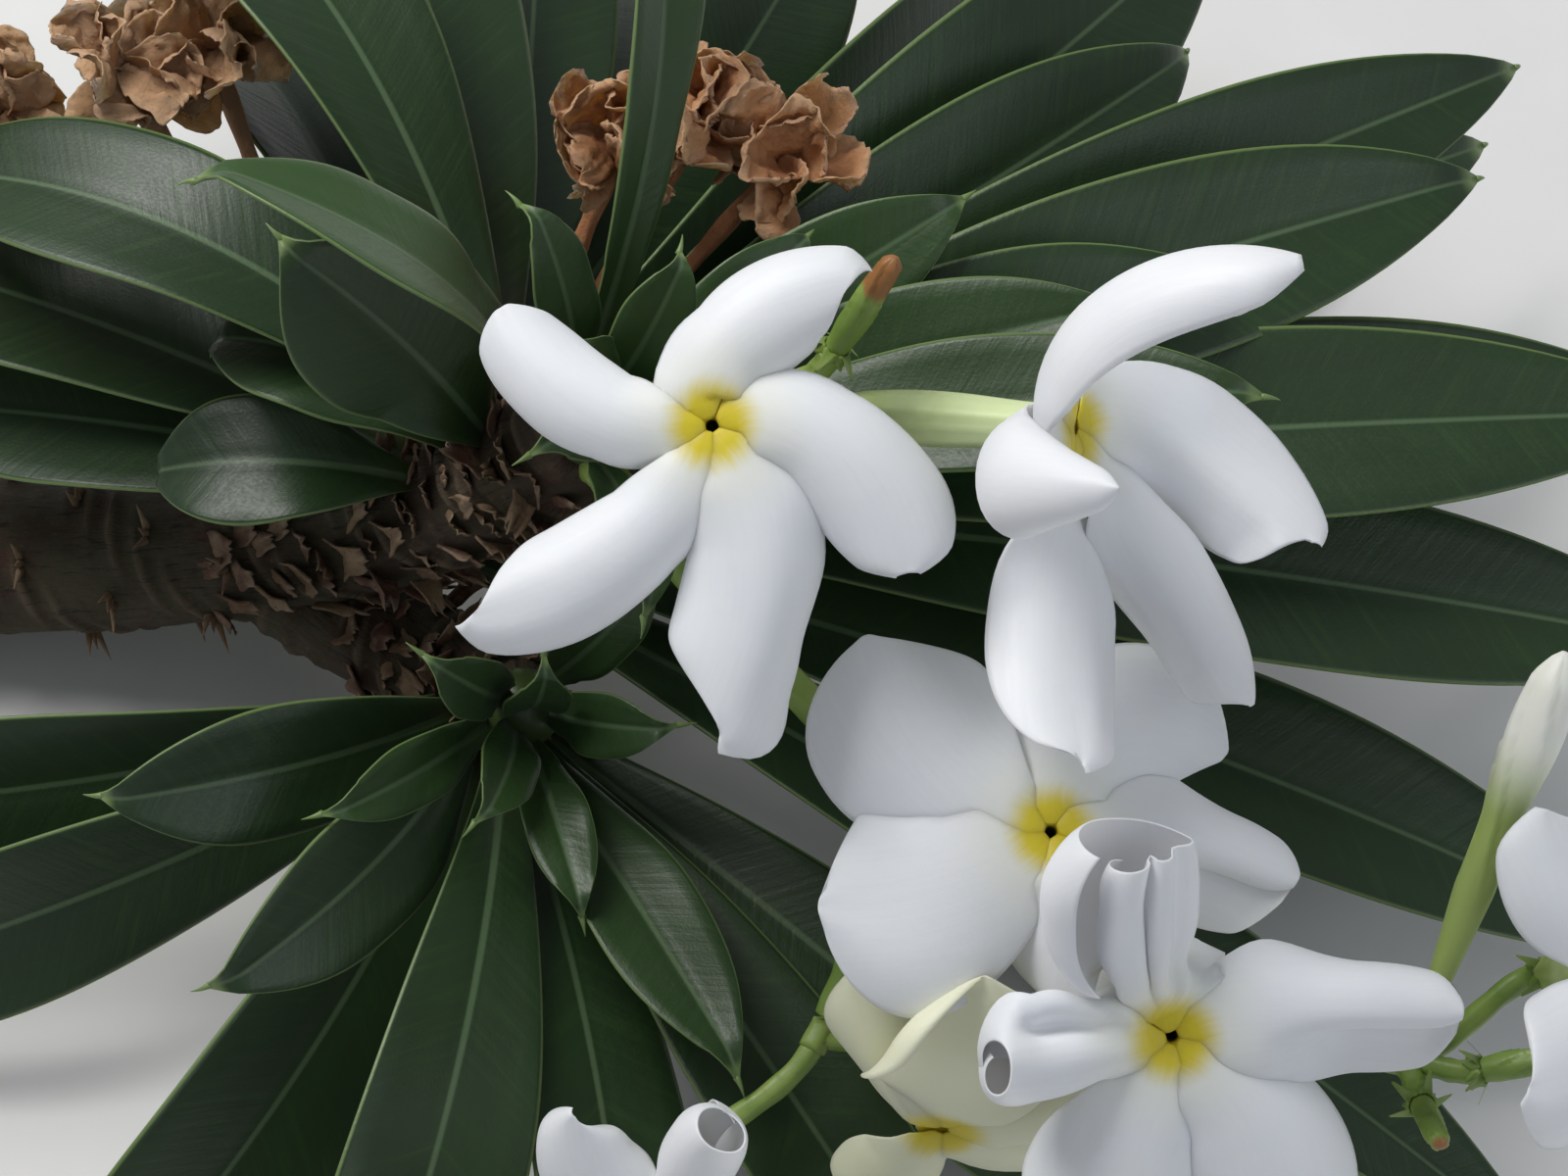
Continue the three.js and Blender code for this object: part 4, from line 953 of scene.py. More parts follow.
class BranchColours(bpy.types.PropertyGroup):
    # The deep and usual leaf greens are partly painted shade: the old blades' dark green made darker still
    leaf_old_and_shade: tint("Leaf, deep", "Darkest green of old leaves", (0.004, 0.014, 0.005))
    leaf_usual_and_shade: tint("Leaf, middle", "Usual green of the blades", (0.009, 0.028, 0.008))
    leaf_young: tint("Leaf, young", "Green of the youngest blades", (0.03, 0.075, 0.014))
    leaf_foot: tint("Leaf foot", "Yellowish foot of a blade", (0.06, 0.085, 0.024))
    leaf_rib: tint("Midrib", "Pale midrib", (0.095, 0.155, 0.075))
    leaf_margin: tint("Margin", "Pale margin and tip", (0.16, 0.24, 0.075))
    under_dark: tint("Underside, dark", "Dull underside", (0.042, 0.06, 0.026))
    under_light: tint("Underside, light", "Greyish underside", (0.08, 0.105, 0.05))
    petal_white: tint("Petal", "White of the petals", (0.85, 0.855, 0.87))
    petal_cool: tint("Petal, cool", "Cool cast of the petals", (0.77, 0.79, 0.85))
    petal_cream: tint("Petal, cream", "Cream of fading petals", (0.8, 0.8, 0.56))
    throat_yellow: tint("Throat", "Yellow of the throat", (0.72, 0.56, 0.02))
    throat_deep: tint("Throat, deep", "Deeper yellow", (0.56, 0.43, 0.005))
    # Painted shade: the near-black olive laid in the tube's hole
    hole: tint("Throat hole", "Dark inside of the tube", (0.05, 0.05, 0.006))
    tube_green: tint("Tube, green", "Green of the tube's foot", (0.33, 0.43, 0.12))
    tube_pale: tint("Tube, pale", "Pale green of the tube", (0.62, 0.72, 0.4))
    stalk_green: tint("Stalk", "Green of the stalks", (0.17, 0.27, 0.05))
    stalk_pale: tint("Stalk, pale", "Lighter green of the stalks", (0.3, 0.4, 0.1))
    stalk_dark: tint("Stalk, dark", "Flecks on the stalks", (0.08, 0.15, 0.025))
    bud_brown: tint("Bud tip", "Brown bud tips", (0.3, 0.13, 0.04))
    bark_olive: tint("Bark, olive", "Olive of the bark", (0.075, 0.066, 0.032))
    bark_brown: tint("Bark, brown", "Brown of the bark", (0.055, 0.033, 0.016))
    bark_red: tint("Bark, red", "Red-brown patches of the bark", (0.085, 0.032, 0.018))
    bark_pale: tint("Bark, pale", "Pale scales of the bark", (0.2, 0.145, 0.09))
    bark_crack: tint("Bark cracks", "Dark fissures", (0.018, 0.011, 0.006))
    cut_flesh: tint("Cut end", "Pale flesh of the cut", (0.45, 0.42, 0.24))
    stub_tan: tint("Leaf base, tan", "Tan leaf bases", (0.24, 0.16, 0.085))
    stub_red: tint("Leaf base, red", "Red-brown leaf bases", (0.11, 0.042, 0.024))
    stub_tip: tint("Leaf base tip", "Grey-brown tips", (0.3, 0.22, 0.145))
    dry_orange: tint("Withered, orange", "Orange of dry petals", (0.52, 0.235, 0.1))
    dry_brown: tint("Withered, brown", "Brown of dry petals", (0.33, 0.13, 0.05))
    dry_beige: tint("Withered, beige", "Beige of the oldest dry petals", (0.4, 0.27, 0.16))
    dry_pale: tint("Withered, pale", "Pale rims of dry petals", (0.68, 0.42, 0.25))
    dry_dark: tint("Withered, dark", "Dark flecks of dry petals", (0.12, 0.045, 0.02))


def step_count(name, description, default, least, most):
    return IntProperty(name=name, description=description, default=default, min=least, max=most)


class BranchShapes(bpy.types.PropertyGroup):
    leaf_rows: step_count("Leaf rows", "Steps along a blade", 44, 8, 120)
    leaf_columns: step_count("Leaf columns", "Steps across a blade", 17, 5, 41)
    leaf_wave: FloatProperty(name="Margin wave", description="Waving of the margins, in mm", default=0.7)
    petal_rows: step_count("Petal rows", "Steps along a petal", 34, 8, 90)
    petal_columns: step_count("Petal columns", "Steps across a petal", 19, 5, 61)
    rolled_columns: step_count("Rolled columns", "Steps across a rolled petal", 61, 5, 121)
    petal_overlap: FloatProperty(name="Overlap", description="Tilt of a petal's foot, degrees", default=13.0)
    petal_thickness: FloatProperty(name="Petal thickness", description="Thickness in mm", default=0.8)
    stub_count: IntProperty(name="Leaf bases", description="Dry leaf bases on the stem", default=150, min=0)
    spine_length: FloatProperty(name="Spines", description="Length of the spines in mm", default=7.0)


class BranchStage(bpy.types.PropertyGroup):
    floor: tint("Floor", "Pale floor", (0.78, 0.78, 0.77))
    sky: FloatProperty(name="Surround", description="Brightness of the surround", default=0.3, min=0.0)
    key_power: FloatProperty(name="Key light", description="Power of the main softbox", default=14.5,
                             min=0.0, unit="POWER")
    fill_power: FloatProperty(name="Fill light", description="Power of the fill softbox", default=2.6,
                              min=0.0, unit="POWER")


# Steps
def add_limb(build, limb, rings, sides):
    """A limb's bark: a round section with spiral leaf-scar cushions and lengthwise ridges."""
    u = np.linspace(0.0, 1.0, rings)
    distance = u * limb.length
    angles = circle(sides)
    walls, cushions = [], []
    for spot, direction, share, far in zip(limb.at(u), limb.along(u), u, distance):
        turn = np.radians(GOLDEN_ANGLE) * far / SCARS["spacing"]
        cushion = np.cos(SCARS["round"] * angles - turn) * np.cos(far * SCARS["rate"])
        cushion = np.maximum(0, cushion) ** SCARS["power"]
        ridge = 0.35 * np.sin(7 * angles + far * 0.11) + 0.2 * np.sin(13 * angles - far * 0.23)
        relief = cushion * SCARS["height"] + ridge * SCARS["ridge"]
        close = math.sqrt(max(0.0, 1 - smoothstep(SCARS["close_from"], 1.0, share) ** 2 * SCARS["close"]))
        reach = (mix(limb.foot, limb.tip, share) + (relief - SCARS["sunk"])) * close
        wall = ring(spot, direction, reach, angles)
        wall[:, 2] = np.maximum(wall[:, 2], SCARS["floor_gap"])
        walls.append(wall)
        cushions.append(cushion)
    around = np.abs(np.arange(sides) - sides / 2) * 2 * math.pi * limb.foot / sides
    build.add(np.concatenate(walls), grid_faces(rings, sides, closed=True), relief=np.concatenate(cushions),
              along=np.repeat(distance, sides), around=np.tile(around, rings))
    for end, at_foot in ((walls[0], True), (walls[-1], False)):
        centre = end.mean(axis=0)
        discs = [centre + (end - centre) * share for share in CUT_DISCS]
        faces = grid_faces(len(discs), sides, closed=True, flip=not at_foot)
        core = tuple((len(discs) - 1) * sides + k for k in range(sides))
        faces.append(core[::-1] if at_foot else core)
        fresh = np.repeat([0, 1, 1, 1, 1], sides) * (1.0 if at_foot else 0.0)
        build.add(np.concatenate(discs), faces, cut=fresh)


class BRANCH_OT_stem(bpy.types.Operator):
    """Model the bare stem and its side shoot, with leaf-scar cushions and a fresh cut"""

    bl_idname = "branch.stem"
    bl_label = "Stem and Shoot"

    def execute(self, context):
        skin = finish_of(bark_finish, context.scene.branch_colours)
        for name, limb, rings, sides in (("stem", "stem", 230, 72), ("side_shoot", "shoot", 70, 48)):
            build = Build()
            add_limb(build, LIMBS[limb], rings, sides)
            finish_piece(build.mesh(f"{name}_bark", [skin]), [name])
        return {"FINISHED"}


def add_stub(build, root, outward, axis, length, width, seed):
    """A dry leaf base: a thin papery tongue with a torn end, standing off the stem."""
    rows, columns = STUB["rows"], STUB["columns"]
    side = unit(np.cross(axis, outward) + axis * STUB["tilt"] * wobble(seed, 9))
    lean = math.radians(STUB["lean"] + STUB["lean_spread"] * wobble(seed, 5))
    along = unit(axis * math.cos(lean) + outward * math.sin(lean))
    face = np.cross(along, side)
    s, t = np.linspace(0, 1, rows), np.linspace(-1, 1, columns)
    down = s[:, None]
    half = width / 2 * (1 - 0.5 * s ** 1.3) * (1 + 0.12 * np.sin(7 * s + seed))
    bend = STUB["bend"] * length * wobble(seed, 3) * s ** 2
    spot = root + np.outer(s * length, along) + np.outer(bend, face)
    torn = length * (0.16 * np.sin(4.3 * t + seed) + 0.12 * np.sin(9.7 * t + 2 * seed)) * down ** 2
    creased = 0.35 * np.sin(5 * t + 3.1 * down + seed) + 0.22 * np.sin(11 * t - 6 * down + seed)
    cup = STUB["cup"] * half[:, None] * t ** 2 * wobble(seed, 11)
    grid = spot[:, None, :] + side * (half[:, None] * t)[..., None]
    grid = grid + along * torn[..., None] + face * (creased * (0.3 + down) + cup)[..., None]
    share = np.repeat(down, columns, 1)
    thick = STUB["half_thickness"] * (1 - 0.6 * s)[:, None, None]
    add_sheet(build, grid + face * thick, grid - face * thick, share=share,
              shade=np.full_like(share, clamp(0.5 + 0.6 * wobble(seed, 6))))


def add_stubs(build, name, first, spacing, count):
    """Leaf bases in a spiral down a limb, but none where it lies on the floor."""
    for i in range(count):
        back = first + spacing * i
        point, axis, radius = LIMBS[name].below_tip(back)
        outward = spoke(axis, GOLDEN_ANGLE * i + 12 * wobble(i, 4))
        root = point + outward * (radius - STUB["sunk"])
        if root[2] < STUB["floor_gap"] or (name == "shoot" and back > STUB["shoot_end"]):
            continue
        add_stub(build, root, outward, axis, STUB["length"] + STUB["length_spread"] * wobble(i, 7),
                 STUB["width"] + STUB["width_spread"] * wobble(i, 8), i)


def add_spines(build, length):
    """Spines in threes down the stem's bare part, the middle one of each the shortest."""
    rings = SPINE["rings"]
    steps = np.linspace(0, 1, rings)
    for i in range(SPINE["threes"]):
        point, axis, radius = LIMBS["stem"].below_tip(SPINE["first"] + SPINE["spacing"] * i)
        outward = spoke(axis, GOLDEN_ANGLE * i)
        if (point + outward * (radius + 3.6))[2] < SPINE["floor_gap"]:
            continue
        across = np.cross(axis, outward)
        for k, lean in enumerate((-SPINE["lean"], 0.0, SPINE["lean"])):
            aim = unit(outward + across * lean + axis * 0.25)
            reach = length * (SPINE["middle"] if k == 1 else 1.0) * (1 + 0.15 * wobble(i, k))
            root = point + outward * (radius - 1.2) + across * lean * 2.4
            add_tube(build, root + np.outer(steps * reach, aim), np.repeat(aim[None], rings, 0),
                     mix(*SPINE["radii"], steps), sides=8, share=steps, shade=0.25)


class BRANCH_OT_leaf_bases(bpy.types.Operator):
    """Set dry leaf bases round the upper stem and short spines in threes along its bare part"""

    bl_idname = "branch.leaf_bases"
    bl_label = "Leaf Bases and Spines"

    def execute(self, context):
        shapes = context.scene.branch_shapes
        stubs, spines = Build(), Build()
        add_stubs(stubs, "stem", 12, 0.72, shapes.stub_count)
        add_stubs(stubs, "shoot", 5, 0.8, 60)
        add_spines(spines, shapes.spine_length)
        skin = finish_of(stub_finish, context.scene.branch_colours)
        finish_piece(stubs.mesh("dry_leaf_bases", [skin]), ["stem", "side_shoot"])
        finish_piece(spines.mesh("spines", [skin]), ["stem"])
        return {"FINISHED"}


class BRANCH_OT_leaves(bpy.types.Operator):
    """Model each leathery leaf of the two rosettes"""

    bl_idname = "branch.leaves"
    bl_label = "Leaves"

    def execute(self, context):
        skin = finish_of(leaf_finish, context.scene.branch_colours)
        for number, (name, (limb, back, tip, rise, width, roll)) in enumerate(LEAVES.items()):
            tip = np.array(tip, float)
            foot, axis = rooted(limb, back, tip)
            build = Build()
            add_leaf(build, foot, tip, axis, rise, width, roll, number + 1, context.scene.branch_shapes,
                     LEAF_TONE.get(name, USUAL_TONE))
            finish_piece(build.mesh(f"{name}_blade", [skin]), [name])
        return {"FINISHED"}


class BRANCH_OT_hearts(bpy.types.Operator):
    """Model the growing tips with their young upright leaves"""

    bl_idname = "branch.hearts"
    bl_label = "Growing Tips"

    def execute(self, context):
        shapes = context.scene.branch_shapes
        skin = finish_of(leaf_finish, context.scene.branch_colours)
        for name, heart in HEARTS.items():
            point, axis, _ = LIMBS[heart["limb"]].below_tip(0)
            one, two = sideways(axis)
            seat = point + axis * HEART["seat"] + one * heart["aside"][0] + two * heart["aside"][1]
            build = Build()
            for i in range(heart["leaves"]):
                share = (i + 1) / heart["leaves"]
                outward = spoke(axis, heart["turn"] + GOLDEN_ANGLE * i)
                lean = math.radians(heart["lean"] * (HEART["lean_least"] + share))
                aim = axis * math.cos(lean) + outward * math.sin(lean)
                foot = seat + outward * heart["radius"] * HEART["foot_spread"] * math.sqrt(share)
                foot = foot + axis * HEART["sunk"]
                tip = foot + aim * heart["length"] * mix(HEART["shortest"], 1, share)
                add_leaf(build, foot, tip, axis, heart["length"] * HEART["rise_share"], heart["width"], 0,
                         HEART["first_seed"] + i, shapes, HEART["tone"], HEART["thickness"])
            rings = HEART["knob_rings"]
            steps = np.linspace(0, 1, rings)
            knob = seat + np.outer(steps * heart["radius"], axis)
            radii = heart["radius"] * np.sqrt(np.maximum(1 - steps ** 2, 0.0004))
            add_tube(build, knob, np.repeat(axis[None], rings, 0), radii, 28, along=30.0, across=6.0,
                     tone=0.6)
            finish_piece(build.mesh(f"{name}_leaves", [skin]), [name])
        return {"FINISHED"}


def add_flower_tube(build, flower, axes, centre, cream):
    """The tube from its foot to the mouth, then the throat's yellow disc and its dark hole."""
    foot = axes @ (np.array(flower["foot"], float) - centre)
    aim = axes @ unit(flower["aim"])
    pull = np.linalg.norm(foot) * TUBE["pull"]
    curve = Curve([foot, foot + aim * pull, (0, 0, -pull), (0, 0, -TUBE["depth"])])
    rows, inner, sides = TUBE["rows"], len(THROAT_RINGS), TUBE["sides"]
    u = np.linspace(0, 1, rows)
    radii = mix(TUBE["foot"], TUBE["neck"], u) + TUBE["belly"] * np.sin(math.pi * u ** TUBE["belly_power"])
    radii = radii + (TUBE["mouth"] - TUBE["neck"]) * u ** TUBE["mouth_power"]
    spots = np.concatenate([curve.at(u), [(0, 0, depth - TUBE["depth"]) for _, depth, _ in THROAT_RINGS]])
    directions = np.concatenate([curve.along(u), np.repeat([(0.0, 0.0, 1.0)], inner, 0)])
    radii = np.concatenate([radii, [radius for radius, _, _ in THROAT_RINGS]])
    zone = np.concatenate([np.zeros(rows), [zone for _, _, zone in THROAT_RINGS]])
    along = np.concatenate([u, np.ones(inner)])
    ribs = np.concatenate([1 - u ** 6, np.zeros(inner)])
    angles = circle(sides)
    broad, fine = TUBE["rib_depths"]
    rings = []
    for spot, direction, radius, rib in zip(spots, directions, radii, ribs):
        reach = radius * (1 + broad * rib * np.cos(5 * angles) + fine * rib * np.cos(10 * angles))
        rings.append(ring(spot, direction, reach, angles))
    build.add(np.concatenate(rings) @ axes + centre, tube_faces(len(rings), sides), 1,
              zone=np.repeat(zone, sides), along=np.repeat(along, sides), cream=cream)


class BRANCH_OT_flowers(bpy.types.Operator):
    """Model the open blooms: twisted white petals round a yellow throat, on ribbed tubes"""

    bl_idname = "branch.flowers"
    bl_label = "Open Blooms"

    def execute(self, context):
        colours = context.scene.branch_colours
        skins = [finish_of(petal_finish, colours), finish_of(throat_finish, colours)]
        for number, (name, flower) in enumerate(FLOWERS.items()):
            axes, centre = flower_axes(flower)
            build = Build()
            cream = BLOOM_CREAM.get(name, 0.0)
            for k, row in enumerate(flower["petals"]):
                seed = number * 5 + k + 1
                top, bottom, values = petal_sheets(row, context.scene.branch_shapes, seed)
                values["seed"] = np.full_like(values["share"], seed * 7.3)
                values["cream"] = np.full_like(values["share"], cream)
                add_sheet(build, top @ axes + centre, bottom @ axes + centre, **values)
            add_flower_tube(build, flower, axes, centre, cream)
            finish_piece(build.mesh(f"{name}_bloom", skins), [name])
        return {"FINISHED"}


def add_spindle(build, bud, twist, fold_depth, **values):
    """A bud or closed bloom, its folds wound round it; a value is a number or depends on the share."""
    foot, tip = np.array(bud["foot"], float), np.array(bud["tip"], float)
    axis = unit(tip - foot)
    s = np.linspace(0, 1, SPINDLE["rows"])
    neck = bud.get("neck", 0.0)
    rise = clamp((s - neck) / (bud["widest"] - neck))
    swell = np.where(s < bud["widest"], rise, (1 - s) / (1 - bud["widest"]))
    slim = SPINDLE["foot"] + SPINDLE["neck_gain"] * clamp(s / 0.3) * (neck > 0)
    radii = mix(slim, bud["radius"], np.sin(math.pi / 2 * swell) ** SPINDLE["power"])
    radii = radii * np.sqrt(clamp((1 - s) / 0.08 + SPINDLE["tail"]))
    sides = SPINDLE["sides"]
    angles = circle(sides)
    rings = []
    for share, radius in zip(s, radii):
        saw = ((SPINDLE["folds"] * (angles + twist * share * 2)) / (2 * math.pi)) % 1.0
        reach = radius * (1 - fold_depth * (1 - saw) * smoothstep(0.25, 0.5, share))
        rings.append(ring(foot + (tip - foot) * share, axis, reach, angles))
    spread = {name: np.repeat(v(s), sides) if callable(v) else v for name, v in values.items()}
    build.add(np.concatenate(rings), tube_faces(len(rings), sides), **spread)


class BRANCH_OT_buds(bpy.types.Operator):
    """Model the closed bloom and the green bud with its brown tip"""

    bl_idname = "branch.buds"
    bl_label = "Closed Bloom and Bud"

    def execute(self, context):
        colours = context.scene.branch_colours
        white, green = finish_of(petal_finish, colours), finish_of(stalk_finish, colours)
        closed, bud = Build(), Build()
        add_spindle(closed, BUDS["flower_8"], 1.2, 0.16, along=lambda s: 60 * s, across=2.0, cream=0.4,
                    throat=30.0, green=lambda s: 1 - smoothstep(0.5, 0.78, s))
        finish_piece(closed.mesh("flower_8_bloom", [white]), ["flower_8"])
        add_spindle(bud, BUDS["bud_1"], 0.9, 0.2, brown=lambda s: smoothstep(0.45, 0.85, s))
        finish_piece(bud.mesh("bud_1_tip", [green]), ["bud_1"])
        return {"FINISHED"}


def stalk_end(name):
    """Where a twig meets its flower or bud, and which way it points there."""
    bud = BUDS.get(name) or SMALL_BUDS.get(name)
    if bud:
        return np.array(bud["foot"], float), unit(np.array(bud["tip"], float) - np.array(bud["foot"], float))
    return np.array(FLOWERS[name]["foot"], float), unit(FLOWERS[name]["aim"])


def add_trunk(build, row):
    """A main stalk with low ribs; returns its curve for the twigs."""
    trunk = Curve(row["curve"])
    u = np.linspace(0, 1, 60)
    radii = mix(*row["radii"], u) * (1 + 0.05 * np.sin(u * 40))
    add_tube(build, trunk.at(u), trunk.along(u), radii, 24, ribs=5, rib_depth=0.04)
    return trunk


class SmallSteps:
    """Mesh steps of the small scales."""

    leaf_rows, leaf_columns, leaf_wave = 7, 5, 0.0


def add_twig(build, trunk, row):
    """A twig from its trunk to a flower or bud, swollen at its end, with a collar of small scales."""
    foot, aim = stalk_end(row["to"])
    start = trunk.at(row["at"])[0]
    small = SMALL_BUDS.get(row["to"])
    if small:
        add_spindle(build, small, 0.9, 0.18, brown=lambda s: smoothstep(0.8, 1.1, s))
    end = foot + aim * (1.0 if small else -0.35)
    pull = np.linalg.norm(end - start) * TWIG["pull"]
    twig = Curve([start, start + trunk.along(row["at"])[0] * pull, end - aim * pull, end])
    u = np.linspace(0, 1, 36)
    radii = TWIG["radius"] * (1 + TWIG["swell"] * smoothstep(0.85, 1.0, u) + 0.04 * np.sin(u * 25))
    add_tube(build, twig.at(u), twig.along(u), radii, 22, ribs=5, rib_depth=0.05)
    for k in range(SCALE["count"]):
        outward = spoke(aim, 360 / SCALE["count"] * k)
        scale_foot = foot + outward * SCALE["foot_out"] - aim * SCALE["foot_back"]
        scale_tip = foot + outward * SCALE["tip_out"] + aim * SCALE["tip_on"]
        add_leaf(build, scale_foot, scale_tip, aim, SCALE["rise"], SCALE["width"], 0, k, SmallSteps,
                 SCALE["tone"], SCALE["thickness"])


class BRANCH_OT_stalks(bpy.types.Operator):
    """Model the branched green flower stalks, with a collar of small scales under each bloom"""

    bl_idname = "branch.stalks"
    bl_label = "Flower Stalks"

    def execute(self, context):
        skin = finish_of(stalk_finish, context.scene.branch_colours)
        for name, rows in STALKS.items():
            build = Build()
            trunk = None
            for row in rows:
                if "curve" in row:
                    trunk = add_trunk(build, row)
                else:
                    add_twig(build, trunk, row)
            finish_piece(build.mesh(f"{name}_green", [skin]), [name])
        return {"FINISHED"}


def crumple(points, rng, reach):
    """Sharp paper-like creases: folded waves that run in random directions."""
    height = np.zeros(points.shape[:-1])
    for octave in range(CREASES["waves"]):
        aim = unit(rng.normal(size=3))
        rate = CREASES["rate"] * CREASES["finer"] ** octave
        wave = 1 - 2 * np.abs(np.sin(points @ aim * rate * 2 + rng.uniform(0, 6)))
        height += wave / CREASES["weaker"] ** octave
    return height * reach


def add_crumpled_head(build, head, radius, seed, tone):
    """A withered corolla: thin papery lobes, folded and thrown round its middle."""
    rng = np.random.default_rng(seed)
    rows, columns, lobes = CRUMPLED["rows"], CRUMPLED["columns"], CRUMPLED["lobes"]
    s, t = np.linspace(0, 1, rows), np.linspace(-1, 1, columns)
    wide = 0.3 + 0.7 * np.sin(math.pi / 2 * np.minimum(1, s / 0.65))
    half = radius * CRUMPLED["width"] * wide * np.sqrt(1 - 0.8 * clamp((s - 0.7) / 0.3) ** 2)
    fade = (0.35 + 0.65 * s)[:, None]
    for k in range(lobes):
        heading = math.radians(360 / lobes * k + rng.uniform(-25, 25))
        lift = math.radians(rng.uniform(-35, 80))
        length = radius * rng.uniform(0.75, 1.15)
        level = math.cos(lift)
        aim = np.array([math.cos(heading) * level, math.sin(heading) * level, math.sin(lift)])
        side = turned(unit(np.cross((0.3, -0.4, 0.86), aim)), aim, rng.uniform(-1.0, 1.0))
        face = np.cross(aim, side)
        curl = rng.uniform(-1.1, 1.1)
        line = head + np.outer(s * length * (1 - 0.15 * abs(curl)), aim)
        line = line + np.outer(curl * s ** 2 * length * 0.5, face)
        bend = rng.choice((-1, 1)) * rng.uniform(0.6, 2.0) * (0.4 + 0.6 * s)[:, None]
        across = half[:, None] * np.sin(bend * t) / bend
        height = half[:, None] * (1 - np.cos(bend * t)) / bend
        grid = line[:, None, :] + side * across[..., None] + face * height[..., None]
        for direction, depth in ((face, CRUMPLED["deep"]), (side, CRUMPLED["aside"])):
            grid = grid + direction * (crumple(grid, rng, radius * depth) * fade)[..., None]
        edge = np.maximum(np.abs(t)[None, :], s[:, None] ** 3)
        thick = face * CRUMPLED["half_thickness"]
        add_sheet(build, grid + thick, grid - thick, edge=edge, shade=np.full(edge.shape, rng.uniform(0, 1)),
                  tone=np.full(edge.shape, tone))


class BRANCH_OT_dry_blossoms(bpy.types.Operator):
    """Model the withered blossoms on their dry stalks"""

    bl_idname = "branch.dry_blossoms"
    bl_label = "Dry Blossoms"

    def execute(self, context):
        skin = finish_of(dry_finish, context.scene.branch_colours)
        u = np.linspace(0, 1, 30)
        for number, (name, blossom) in enumerate(DRY_BLOSSOMS.items()):
            build = Build()
            foot = np.array(blossom["foot"], float)
            for n, spot in enumerate(blossom["heads"]):
                head = np.array(spot, float)
                middle = mix(foot, head, 0.6) - np.array((0, 0, 8.0))
                curve = Curve([foot, mix(foot, middle, 0.6), middle, head])
                add_tube(build, curve.at(u), curve.along(u), 1.7 + 0.25 * np.sin(u * 30 + n), 14, ribs=4,
                         rib_depth=0.12, edge=0.0, shade=0.9, tone=blossom["tone"])
                add_crumpled_head(build, head, blossom["radius"] * 0.95, number * 10 + n, blossom["tone"])
            finish_piece(build.mesh(f"{name}_papery", [skin]), [name])
        return {"FINISHED"}


def add_softbox(name, power, place, size, colour):
    light = bpy.data.lights.new(name, "AREA")
    light.shape = "RECTANGLE"
    light.size, light.size_y = size
    light.energy = power
    light.color = colour
    lamp = bpy.data.objects.new(name, light)
    lamp.location = Vector(place)
    lamp.rotation_euler = (Vector(LIGHT_AIM) - Vector(place)).to_track_quat("-Z", "Y").to_euler()
    bpy.context.scene.collection.objects.link(lamp)


def add_floor(colour):
    mesh = bpy.data.meshes.new("floor")
    corners = [(x * FLOOR_REACH, y * FLOOR_REACH, 0) for x, y in ((-1, -1), (1, -1), (1, 1), (-1, 1))]
    mesh.from_pydata(corners, [], [(0, 1, 2, 3)])
    f = Finish("pale_floor", 0.7)
    speck = f.noise(f.place(), 30.0, 3.0)
    f.base(f.colour(f.span(speck, 0.3, 0.7), colour, tuple(c * 0.97 for c in colour)))
    mesh.materials.append(f.material)
    floor = bpy.data.objects.new("floor", mesh)
    bpy.context.scene.collection.objects.link(floor)


def add_camera():
    camera = bpy.data.cameras.new("camera")
    camera.lens, camera.sensor_width = CAMERA["lens"], CAMERA["sensor"]
    camera.clip_start, camera.clip_end = 0.01, 20.0
    view = bpy.data.objects.new("camera", camera)
    place = (np.array(CAMERA["aim"]) + OUTWARD * CAMERA["distance"]) * MM + SHIFT
    turn = Matrix((Vector(ACROSS), Vector(UPWARD), Vector(OUTWARD))).transposed().to_4x4()
    view.matrix_world = Matrix.Translation(Vector(place)) @ turn
    bpy.context.scene.collection.objects.link(view)
    bpy.context.scene.camera = view


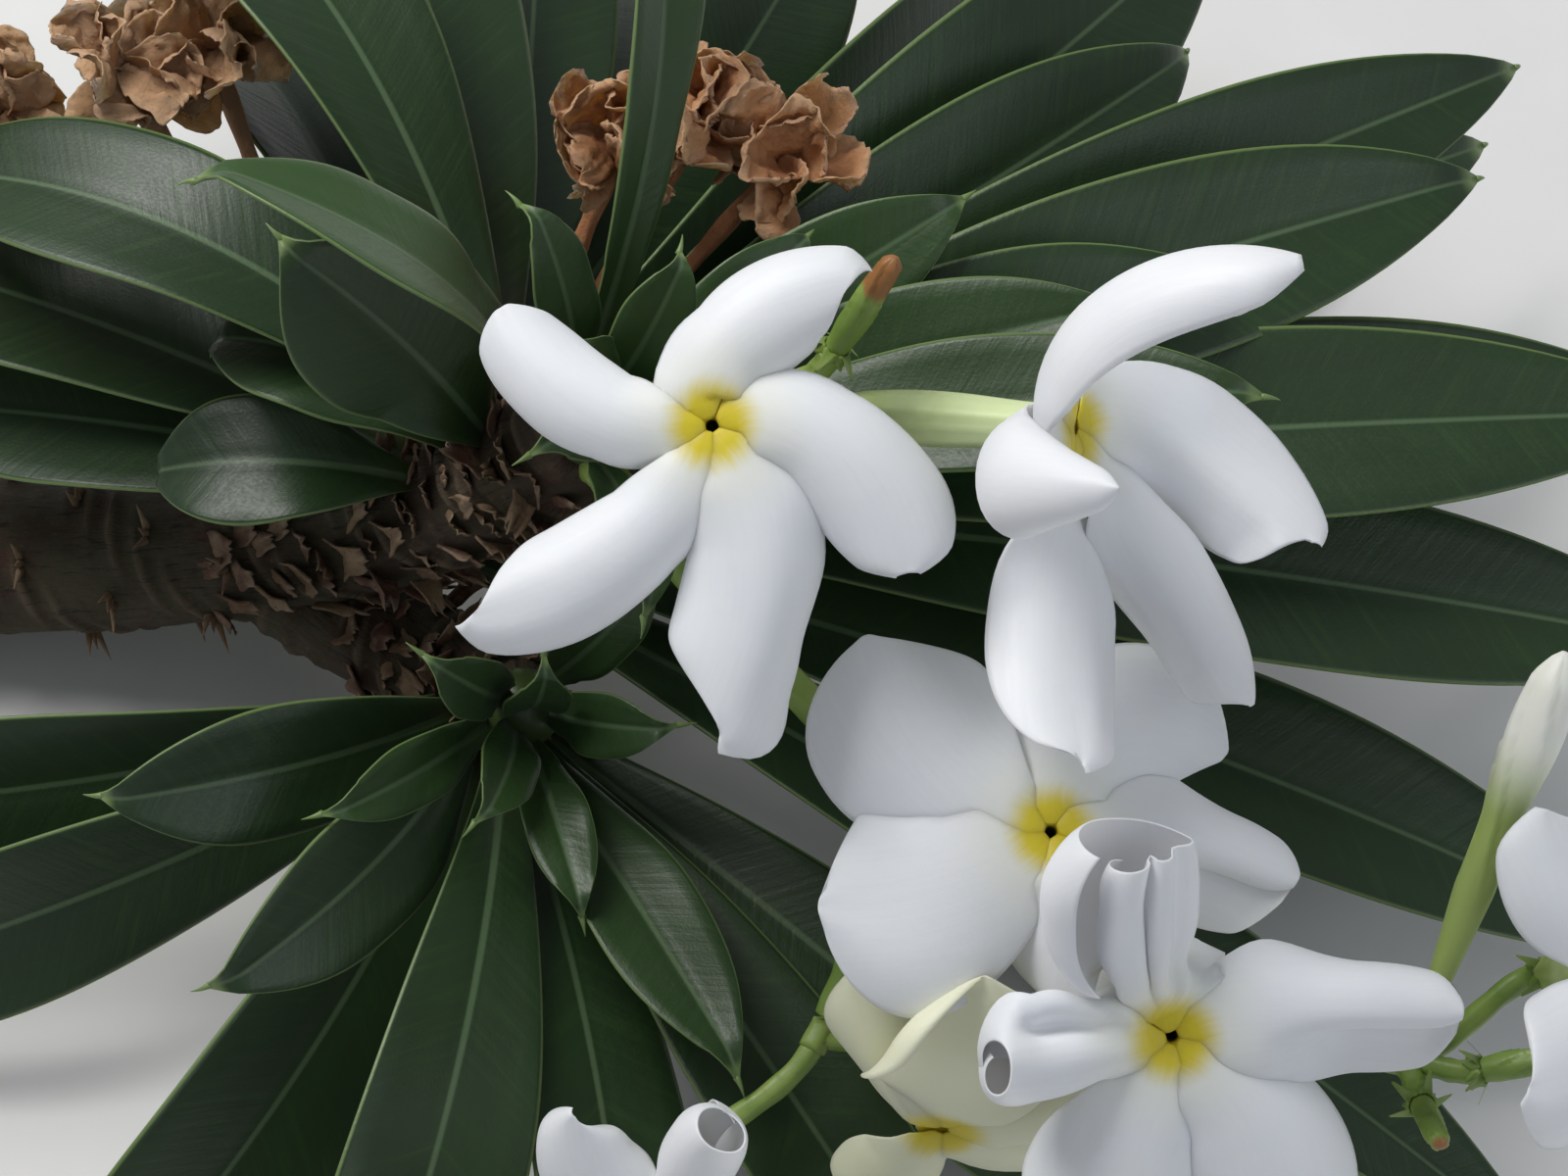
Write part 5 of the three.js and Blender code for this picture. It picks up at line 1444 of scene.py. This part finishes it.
class BRANCH_OT_stage(bpy.types.Operator):
    """Lay the pale floor, hang the softboxes and set the camera at the photograph's angle"""

    bl_idname = "branch.stage"
    bl_label = "Floor, Lights and Camera"

    def execute(self, context):
        stage = context.scene.branch_stage
        add_floor(tuple(stage.floor))
        world = bpy.data.worlds.new("soft_surround")
        world.use_nodes = True
        background = world.node_tree.nodes["Background"]
        background.inputs["Color"].default_value = SKY_COLOUR
        background.inputs["Strength"].default_value = stage.sky
        context.scene.world = world
        add_softbox("key_softbox", stage.key_power, **KEY_LIGHT)
        add_softbox("fill_softbox", stage.fill_power, **FILL_LIGHT)
        add_camera()
        context.scene.view_settings.view_transform = "Standard"
        return {"FINISHED"}


class BRANCH_PT_sidebar(bpy.types.Panel):
    """Lists the steps that dress the branch"""

    bl_idname = "BRANCH_PT_sidebar"
    bl_label = "Flowering Branch"
    bl_space_type = "VIEW_3D"
    bl_region_type = "UI"
    bl_category = "Branch"

    def draw(self, context):
        scene = context.scene
        for operator in STEPS:
            self.layout.operator(operator.bl_idname)
        for group in (scene.branch_shapes, scene.branch_colours, scene.branch_stage):
            box = self.layout.box()
            for name in group.bl_rna.properties.keys():
                if name not in ("rna_type", "name"):
                    box.prop(group, name)


STEPS = (BRANCH_OT_stem, BRANCH_OT_leaf_bases, BRANCH_OT_leaves, BRANCH_OT_hearts, BRANCH_OT_stalks,
         BRANCH_OT_flowers, BRANCH_OT_buds, BRANCH_OT_dry_blossoms, BRANCH_OT_stage)
GROUPS = (BranchColours, BranchShapes, BranchStage)


def register():
    for item in (*GROUPS, *STEPS, BRANCH_PT_sidebar):
        bpy.utils.register_class(item)
    bpy.types.Scene.branch_colours = PointerProperty(type=BranchColours)
    bpy.types.Scene.branch_shapes = PointerProperty(type=BranchShapes)
    bpy.types.Scene.branch_stage = PointerProperty(type=BranchStage)


def unregister():
    del bpy.types.Scene.branch_colours, bpy.types.Scene.branch_shapes, bpy.types.Scene.branch_stage
    for item in reversed((*GROUPS, *STEPS, BRANCH_PT_sidebar)):
        bpy.utils.unregister_class(item)


def main():
    register()
    bpy.ops.branch.stem()
    bpy.ops.branch.leaf_bases()
    bpy.ops.branch.leaves()
    bpy.ops.branch.hearts()
    bpy.ops.branch.stalks()
    bpy.ops.branch.flowers()
    bpy.ops.branch.buds()
    bpy.ops.branch.dry_blossoms()
    bpy.ops.branch.stage()


if __name__ == "__main__":
    main()
